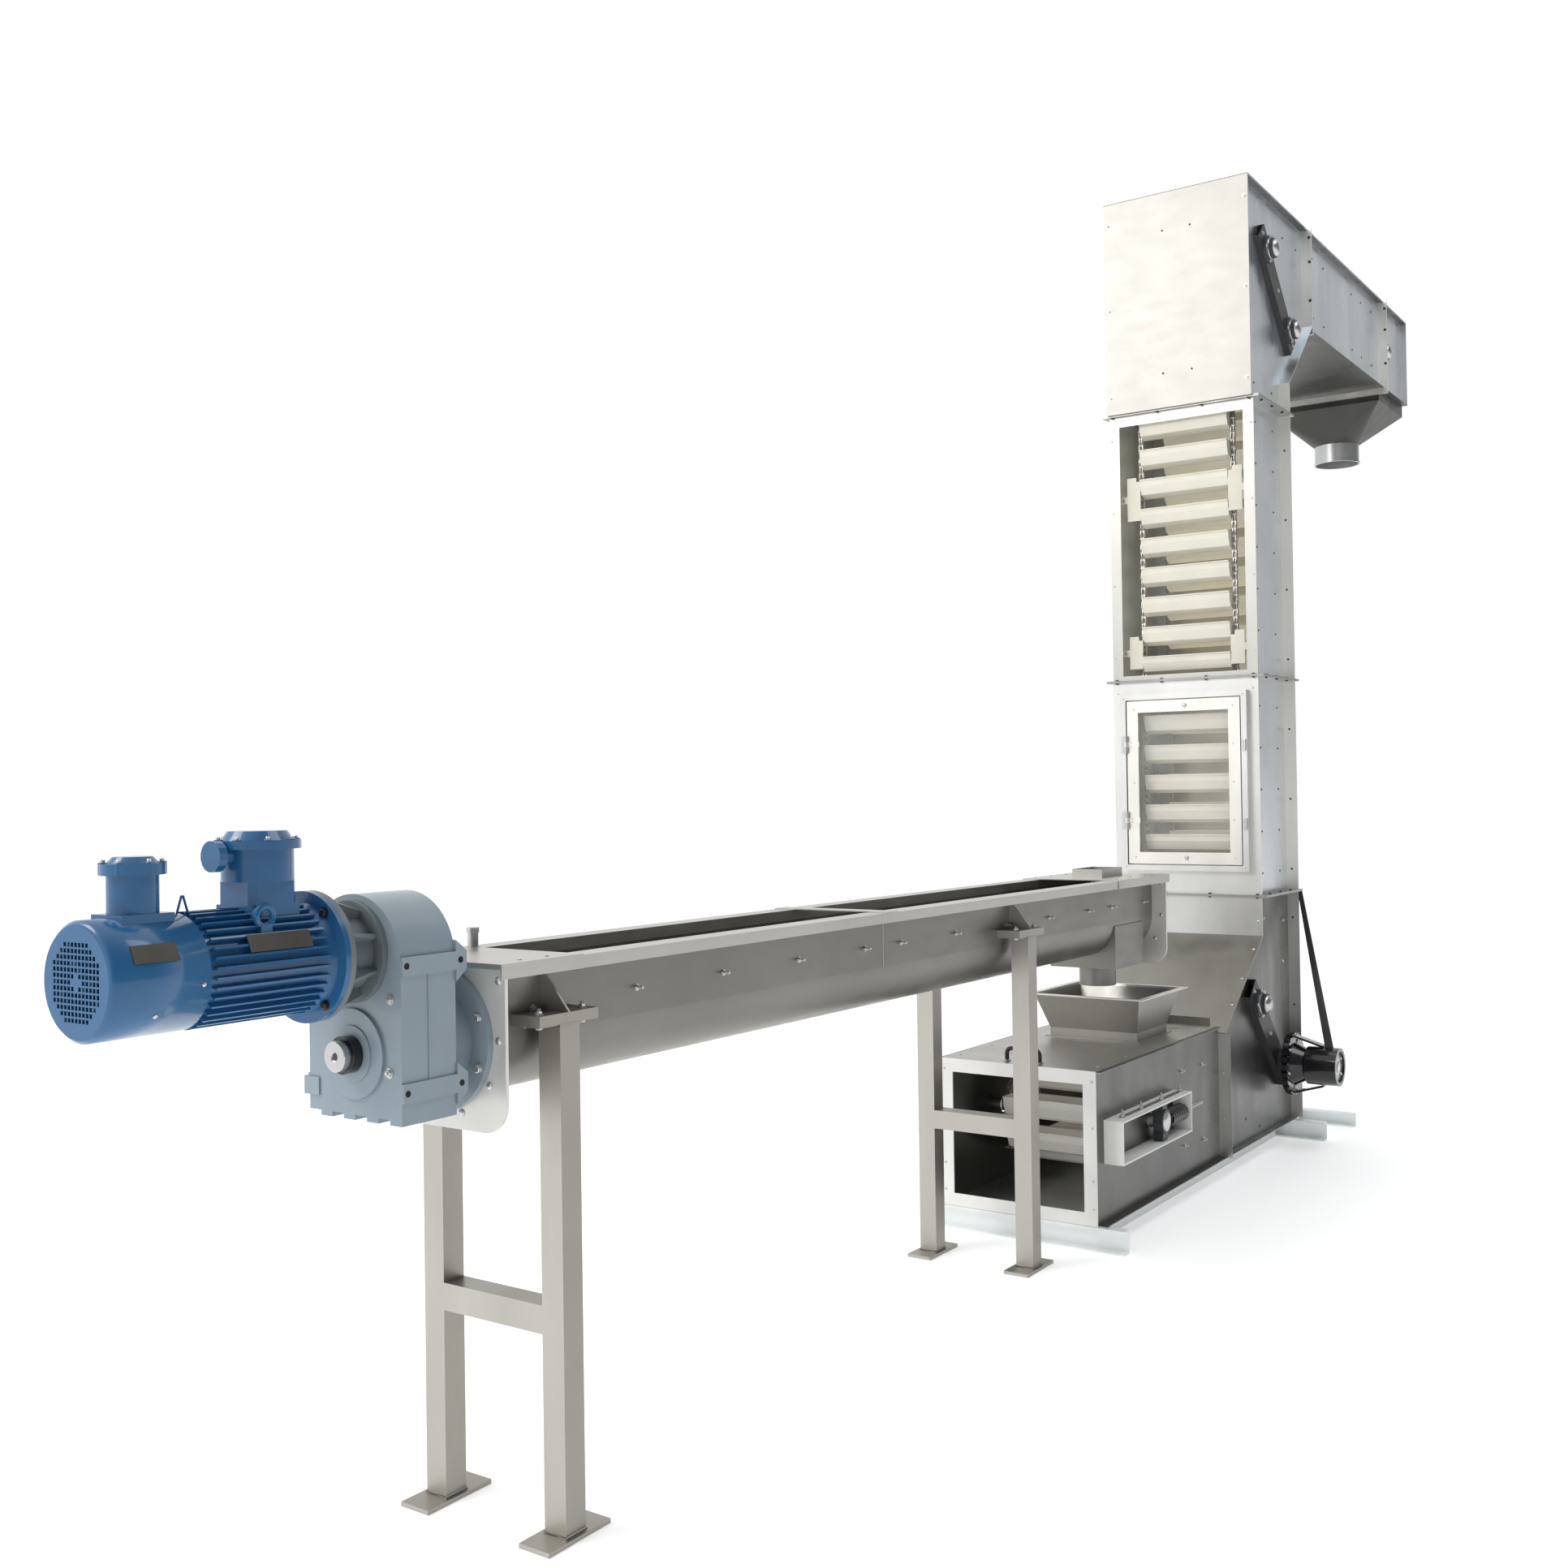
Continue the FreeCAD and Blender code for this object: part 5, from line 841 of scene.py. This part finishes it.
def build_drive_trim():
    """Bright marks between the teeth, hub bolts, and the steel end face of the round housing."""
    kit = Kit()
    centre = Vector((DRIVE_X, 0, DRIVE_Z))
    for i in range(24):
        angle = 2 * math.pi * (i + 0.5) / 24
        out = Vector((math.cos(angle), 0, math.sin(angle)))
        across = Vector((-out.z, 0, out.x)) * 0.0022
        root = centre + Vector((0, SPROCKET_FACE_Y - 0.0008, 0))
        a, b = root + out * 0.107, root + out * 0.119
        kit.plate([a - across, b - across, b + across, a + across], (0, 0.0012, 0))
    for i in range(6):
        angle = 2 * math.pi * i / 6 + 0.3
        spot = centre + Vector((0.0985 * math.cos(angle), SPROCKET_FACE_Y, 0.0985 * math.sin(angle)))
        kit.bolt(spot, RIGHT, 0.0058)
    floor_y = CAN_END_Y + CAN_RECESS
    kit.turned((DRIVE_X, floor_y, DRIVE_Z), RIGHT, [(-0.0005, 0.063), (0.002, 0.063), (0.003, 0.061)], 40)
    kit.turned((DRIVE_X, floor_y, DRIVE_Z), RIGHT, [(0.001, 0.024), (0.006, 0.024), (0.0085, 0.017)], 24)
    for i in range(4):
        angle = math.pi / 4 + math.pi / 2 * i
        spot = (DRIVE_X + 0.046 * math.cos(angle), floor_y - 0.003, DRIVE_Z + 0.046 * math.sin(angle))
        kit.bolt(spot, RIGHT, 0.006)
    kit.piece("drive_trim", "zinc_steel")


# Door and window

def build_door_screws():
    """Round knobs and screws on the leaf, which ride with the door."""
    kit = Kit()
    knob = [(-0.0005, 0.010), (0.004, 0.0095), (0.007, 0.006), (0.0075, 0.002)]
    for z in (1.892, 1.238):
        kit.turned((DOOR_FACE_X, -0.010, z), BACK, knob, 16)
    for y in (-0.219, 0.219):
        for z in (1.240, 1.400, 1.561, 1.722, 1.882):
            kit.screw((DOOR_FACE_X, y, z), BACK, 0.004)
    for low in HINGE_LEAF_Z:
        for z in (low + 0.030, low + 0.045):
            kit.screw((DOOR_FACE_X - 0.003, 0.231, z), BACK, 0.0032)
    kit.piece("door_screws", "zinc_steel", "door")


def build_hinge_screws():
    """Screws in the fixed hinge leaves and the catches, and bolts through the chain guides."""
    kit = Kit()
    for low in HINGE_LEAF_Z:
        for z in (low + 0.012, low + 0.0375, low + 0.063):
            kit.screw((RING_FACE_X - 0.003, 0.2695, z), BACK, 0.0032)
        kit.screw((RING_FACE_X - 0.012, -0.2665, low + 0.012), BACK, 0.0042)
        kit.screw((RING_FACE_X - 0.012, -0.2665, low + 0.034), BACK, 0.0042)
    for y in (-0.272, 0.272):
        for z in (2.062 + 0.0715, 2.715 + 0.095):
            kit.bolt((-0.367, y, z), BACK, 0.005)
    kit.piece("hinge_screws", "zinc_steel")


# Screw conveyor

TROUGH_STUD_X = spaced(-4.234, -3.246, 4) + spaced(-3.049, -1.723, 5) + [-1.519, -1.214]
TROUGH_STUD_Z = 1.105
END_BOLTS = ((0.166, 1.171), (0.165, 1.050), (0.138, 0.958), (0.058, 0.896))


def build_trough_fasteners():
    """Studs, bolts and screws round the trough, and the nub on its near cover."""
    kit = Kit()
    for side in (LEFT, RIGHT):
        wall = side * TROUGH_Y
        for x in TROUGH_STUD_X:
            kit.stud(wall + Vector((x, 0, TROUGH_STUD_Z)), side, 0.0062, 0.020)
        for x, z in ((-4.573, 1.097), (-4.596, 1.067)):
            kit.bolt(wall + Vector((x, 0, z)), side, 0.0072)
        for y, z in END_BOLTS:
            kit.screw(side * y + Vector((NEAR_PLATE_X, 0, z)), BACK, 0.0085)
            kit.screw(side * y + Vector((FAR_PLATE_X, 0, z)), BACK, 0.0075)
        for x in (-4.640, -4.560):
            kit.screw(side * 0.155 + Vector((x, 0, 1.207)), UP, 0.006)
        for x in spaced(-1.560, -1.150, 4):
            kit.screw(side * 0.160 + Vector((x, 0, 1.207)), UP, 0.006)
    nub = [(0, 0.0165), (0.003, 0.0165), (0.003, 0.0125), (0.034, 0.0125), (0.034, 0.0145), (0.0455, 0.0145)]
    kit.turned((-4.4725, 0.150, 1.2035), UP, nub, 16)
    kit.piece("trough_fasteners", "zinc_steel")


def build_weld_beads():
    """Fine weld lines where the trough's halves meet and round both ends of the legs."""
    kit = Kit()
    for side in (LEFT, RIGHT):
        top = side * (TROUGH_Y + 0.0002)
        kit.tube([top + Vector((-3.149, 0, 1.046)), top + Vector((-3.149, 0, 1.175))], 0.0016, 6)
    half = 0.0305
    for leg_x in LEG_X:
        for side in (-1, 1):
            y = side * LEG_Y
            ring = [(leg_x + a * half, y + b * half) for a, b in ((-1, -1), (1, -1), (1, 1), (-1, 1))]
            for z in (0.0115, 1.0665):
                kit.tube([(px, py, z) for px, py in ring], 0.0028, 6, closed=True)
    kit.piece("weld_beads", "leg_steel")


PAD_TOP_Z = 1.092
PAD_LOW_Z = 1.068


def build_saddle_bolts():
    """Studs and bolts through the pads on top of the legs."""
    kit = Kit()
    for leg_x in LEG_X:
        for side in (-1, 1):
            for reach in (-0.066, 0.066):
                at = Vector((leg_x + reach, side * 0.181, 0))
                kit.stud(at + UP * PAD_TOP_Z, UP, 0.0078, 0.014)
                kit.bolt(at + UP * PAD_LOW_Z, DOWN, 0.0078)
    kit.piece("saddle_bolts", "zinc_steel")


# Gear unit and motor

FLANGE_BACK_X = -4.728
OUTPUT_BOLT_R = 0.134
GEARBOX_FACE_X = -4.940
MOTOR_FLANGE_X = -5.062
MOTOR_BOLT_R = 0.1075
MOTOR_BOLT_ANGLES = (53, 127, 233, 307)
RING_SEAT_X = -5.038
SHAFT_END_PROFILE = ((-0.0155, 0.0303), (0, 0.0303), (0.0015, 0.0285), (0.0015, 0.010), (-0.001, 0.007))


def round_motor_axis(radius, degrees):
    """A place round the motor's middle line, at x = 0."""
    turn = math.radians(degrees)
    return Vector((0, radius * math.cos(turn), MOTOR_Z + radius * math.sin(turn)))


def build_gearbox_bolts():
    """Bolts on both faces of the gear unit, and the bright end of its shaft."""
    kit = Kit()
    for i in range(8):
        angle = math.radians(22.5 + 45 * i)
        y, z = OUTPUT_BOLT_R * math.cos(angle), SCREW_Z + OUTPUT_BOLT_R * math.sin(angle)
        kit.bolt((FLANGE_BACK_X, y, z), BACK, 0.0085)
    for y, z in ((-0.105, 1.155), (-0.101, 1.015)):
        kit.bolt((GEARBOX_FACE_X, y, z), BACK, 0.008)
        kit.turned((GEARBOX_FACE_X, y, z), BACK, [(0.006, 0.0045), (0.0105, 0.004)], 6)
    for degrees in MOTOR_BOLT_ANGLES:
        kit.bolt(round_motor_axis(MOTOR_BOLT_R, degrees) + AHEAD * RING_SEAT_X, AHEAD, 0.0085)
    kit.turned((-4.9885, 0, SCREW_Z), BACK, SHAFT_END_PROFILE, 32)
    kit.piece("gearbox_bolts", "zinc_steel")


def build_motor_bolts():
    """Dark bolts in the motor flange."""
    kit = Kit()
    for degrees in MOTOR_BOLT_ANGLES:
        kit.bolt(round_motor_axis(MOTOR_BOLT_R, degrees) + AHEAD * MOTOR_FLANGE_X, BACK, 0.0085)
    kit.piece("motor_flange_bolts", "black_plastic")


# Each lid as its middle along the machine, top height, thickness, bolt circle and number of screws
LIDS = ((-5.161, 1.469, 0.016, 0.0705, 8), (-5.416, 1.438, 0.020, 0.0475, 6))
LUG_R = 0.0078
LID_SCREW_R = 0.0042


def lid_places(lid):
    """Where the screws of a lid sit."""
    x, top, _, bolt_r, count = lid
    for i in range(count):
        angle = 2 * math.pi * (i + 0.5) / count
        yield Vector((x + bolt_r * math.cos(angle), bolt_r * math.sin(angle), top))


def build_motor_trim():
    """Painted lugs round the lids, the lifting eye and the bent wire behind it."""
    kit = Kit()
    for lid in LIDS:
        for at in lid_places(lid):
            kit.turned(at, DOWN, [(-0.002, 0.9 * LUG_R), (-0.001, LUG_R), (lid[2], LUG_R)], 12)
    eye = []
    for i in range(20):
        angle = 2 * math.pi * i / 20
        eye.append((-5.202 + 0.018 * math.cos(angle), -0.072, 1.334 + 0.018 * math.sin(angle)))
    kit.tube(eye, 0.0062, 8, closed=True)
    kit.block((-5.214, -0.079, 1.296), (-5.190, -0.065, 1.320))
    kit.tube([(-5.3315, 0, 1.344), (-5.3215, 0, 1.376), (-5.3185, 0, 1.376), (-5.3085, 0, 1.344)], 0.0024, 6)
    kit.piece("motor_trim", "motor_paint")


def build_motor_screws():
    """Screws in the lids, round the cowl and on both sides of the bell."""
    kit = Kit()
    cap = [(0, LID_SCREW_R), (0.005, LID_SCREW_R), (0.0062, 0.8 * LID_SCREW_R)]
    for lid in LIDS:
        for at in lid_places(lid):
            kit.turned(at + UP * 0.001, UP, cap, 10)
    for x, degrees in ((-5.349, 188.4), (-5.431, 216.3)):
        for mirrored in (degrees, 180 - degrees):
            at = round_motor_axis(0.103, mirrored)
            out = (at - Vector((0, 0, MOTOR_Z))).normalized()
            kit.screw(at + AHEAD * x, out, 0.0045)
    for side in (LEFT, RIGHT):
        kit.bolt(Vector((-5.014, 0, 1.262)) + side * 0.0755, side, 0.0075)
    kit.piece("motor_screws", "zinc_steel")


def build_nameplates():
    """Two bare metal plates, on the stator and on the cowl, with no marks."""
    kit = Kit()
    for x0, x1, lean, radius in ((-5.253, -5.118, 25.6, 0.1045), (-5.479, -5.393, 26.0, 0.1032)):
        turn = math.radians(lean)
        out = Vector((0, -math.cos(turn), math.sin(turn)))
        up = Vector((0, math.sin(turn), math.cos(turn)))
        centre = Vector((0, 0, MOTOR_Z)) + out * radius
        a, b = centre - up * 0.0165, centre + up * 0.0165
        kit.plate([a + AHEAD * x0, a + AHEAD * x1, b + AHEAD * x1, b + AHEAD * x0], out * 0.0012)
    kit.piece("nameplates", "zinc_steel", finish=NAMEPLATE)


def grille_cells():
    """Middles of the square air holes in the round end of the cowl, round a plain centre."""
    reach = int(GRILLE_R / GRILLE_PITCH) + 1
    for i in range(-reach, reach + 1):
        for j in range(-reach, reach + 1):
            y, z = i * GRILLE_PITCH, j * GRILLE_PITCH
            if GRILLE_HUB_R < math.hypot(y, z) < GRILLE_R:
                yield y, MOTOR_Z + z


def even_out_end_face(mesh, face_x):
    """Give the flat end face its own normals up to its round rim, so that it shades as one flat."""
    normals = []
    for polygon in mesh.polygons:
        faces_out = polygon.normal.x < -0.7
        for corner in polygon.loop_indices:
            at = mesh.vertices[mesh.loops[corner].vertex_index].co
            on_face = faces_out and at.x < face_x + 1e-5
            normals.append(BACK if on_face else Vector())
    mesh.normals_split_custom_set(normals)


def build_fan_cowl():
    """The cowl again, with its air holes sunk into the end face."""
    holes = Kit()
    half = (GRILLE_PITCH - GRILLE_BAR) / 2
    face_x = low_corner[0]
    for y, z in grille_cells():
        holes.block((face_x - 0.002, y - half, z - half), (face_x + GRILLE_DEPTH, y + half, z + half))
    cutter = holes.loose("air_holes")
    shell = bmesh.new()
    shell.from_mesh(nodes["fan_cowl"].data)
    bmesh.ops.remove_doubles(shell, verts=shell.verts, dist=1e-6)
    mesh = bpy.data.meshes.new("fan_cowl_grille")
    shell.to_mesh(mesh)
    shell.free()
    cowl = bpy.data.objects.new("fan_cowl_grille", mesh)
    scene.collection.objects.link(cowl)
    cut = cowl.modifiers.new("air_holes", "BOOLEAN")
    cut.operation = "DIFFERENCE"
    cut.solver = "EXACT"
    cut.object = cutter
    cowl.data = bpy.data.meshes.new_from_object(cowl.evaluated_get(bpy.context.evaluated_depsgraph_get()))
    cowl.modifiers.clear()
    bpy.data.objects.remove(cutter)
    cowl.data.materials.clear()
    cowl.data.materials.append(NODE_FINISH["fan_cowl"])
    smooth_by_angle(cowl.data)
    even_out_end_face(cowl.data, face_x)
    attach(cowl, "root")
    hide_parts("fan_cowl")


def build_band_cover():
    """Small cover on the near foot of the gear unit's lower band."""
    kit = Kit()
    kit.block((-4.9435, 0.103, 0.954), (-4.938, 0.147, 0.990))
    kit.piece("band_cover", "gearbox_paint")


# Stage, light and camera

def camera_matrix():
    """The camera's place and turn, from its yaw, pitch and roll."""
    cy, sy = math.cos(CAMERA_YAW), math.sin(CAMERA_YAW)
    cp, sp = math.cos(CAMERA_PITCH), math.sin(CAMERA_PITCH)
    ahead = Vector((cy * cp, sy * cp, sp))
    right = Vector((sy, -cy, 0))
    up = right.cross(ahead)
    cr, sr = math.cos(CAMERA_ROLL), math.sin(CAMERA_ROLL)
    side = right * cr + up * sr
    top = up * cr - right * sr
    matrix = Matrix((side, top, -ahead)).transposed().to_4x4()
    matrix.translation = CAMERA_AT
    return matrix


def build_camera():
    data = bpy.data.cameras.new("camera")
    data.sensor_width = SENSOR_MM
    data.lens = LENS_MM
    data.shift_x = SHIFT_X
    data.shift_y = SHIFT_Y
    camera = bpy.data.objects.new("camera", data)
    camera.matrix_world = camera_matrix()
    scene.collection.objects.link(camera)
    scene.camera = camera


def plane(name, corners, material):
    mesh = bpy.data.meshes.new(name)
    mesh.from_pydata(corners, [], [tuple(range(len(corners)))])
    mesh.materials.append(material)
    obj = bpy.data.objects.new(name, mesh)
    scene.collection.objects.link(obj)
    return obj


def build_stage():
    """Wide pale floor, with a little light of its own so that it meets the white backdrop."""
    s = Shader("pale_floor")
    clouds = s.noise(0.6, 2.0)
    color = s.mix(clouds, (0.86, 0.86, 0.86), (0.90, 0.90, 0.90))
    s.body.inputs["Emission Color"].default_value = (1, 1, 1, 1)
    s.body.inputs["Emission Strength"].default_value = 0.38
    floor_material = s.set(base_color=color, roughness=0.85)
    far = 60.0
    corners = [(-far, -far, 0), (far, -far, 0), (far, far, 0), (-far, far, 0)]
    floor = plane("floor", corners, floor_material)


def area_light(name, at, target, size, watts, color=(1, 1, 1)):
    data = bpy.data.lights.new(name, "AREA")
    data.shape = "RECTANGLE"
    data.size, data.size_y = size
    data.energy = watts
    data.color = color
    obj = bpy.data.objects.new(name, data)
    obj.location = at
    obj.rotation_euler = (Vector(target) - Vector(at)).to_track_quat("-Z", "Y").to_euler()
    scene.collection.objects.link(obj)


def build_world():
    """Studio surroundings: a plain white backdrop, and light that is weaker from the right-hand side."""
    world = bpy.data.worlds.new("studio")
    scene.world = world
    world.use_nodes = True
    tree = world.node_tree
    background = tree.nodes["Background"]
    split = tree.nodes.new("ShaderNodeSeparateXYZ")
    coordinates = tree.nodes.new("ShaderNodeTexCoord")
    tree.links.new(coordinates.outputs["Generated"], split.inputs["Vector"])
    side = tree.nodes.new("ShaderNodeMapRange")
    side.interpolation_type = "SMOOTHSTEP"
    side.inputs["From Min"].default_value = -0.75
    side.inputs["From Max"].default_value = 0.10
    side.inputs["To Min"].default_value = 0.10
    side.inputs["To Max"].default_value = 1.0
    tree.links.new(split.outputs["Y"], side.inputs["Value"])
    tree.links.new(side.outputs["Result"], background.inputs["Color"])
    backdrop = tree.nodes.new("ShaderNodeBackground")
    seen = tree.nodes.new("ShaderNodeLightPath")
    either = tree.nodes.new("ShaderNodeMixShader")
    tree.links.new(seen.outputs["Is Camera Ray"], either.inputs["Fac"])
    tree.links.new(background.outputs["Background"], either.inputs[1])
    tree.links.new(backdrop.outputs["Background"], either.inputs[2])
    tree.links.new(either.outputs["Shader"], tree.nodes["World Output"].inputs["Surface"])
    backdrop.inputs["Color"].default_value = (1, 1, 1, 1)


def build_light():
    build_world()
    area_light("key", (-8.0, 3.5, 6.0), (-1.5, 0, 1.5), (3, 3), 200, (1.0, 0.98, 0.95))
    area_light("top", (-1.0, -3.5, 8.5), (-1.0, 0, 2.0), (5, 3), 160, (0.92, 0.96, 1.0))
    scene.view_settings.view_transform = "Standard"


dress_frame()
build_chain_links()
build_bucket_pivots()
build_joint_bolts()
build_casing_screws()
build_front_screws()
build_open_holes()
build_box_studs()
build_bearing_trim()
build_beam_bolts()
build_takeup_trim()
build_drive_trim()
build_door_screws()
build_hinge_screws()
build_trough_fasteners()
build_weld_beads()
build_saddle_bolts()
build_gearbox_bolts()
build_motor_bolts()
build_motor_trim()
build_motor_screws()
build_nameplates()
build_fan_cowl()
build_band_cover()
build_camera()
build_stage()
build_light()
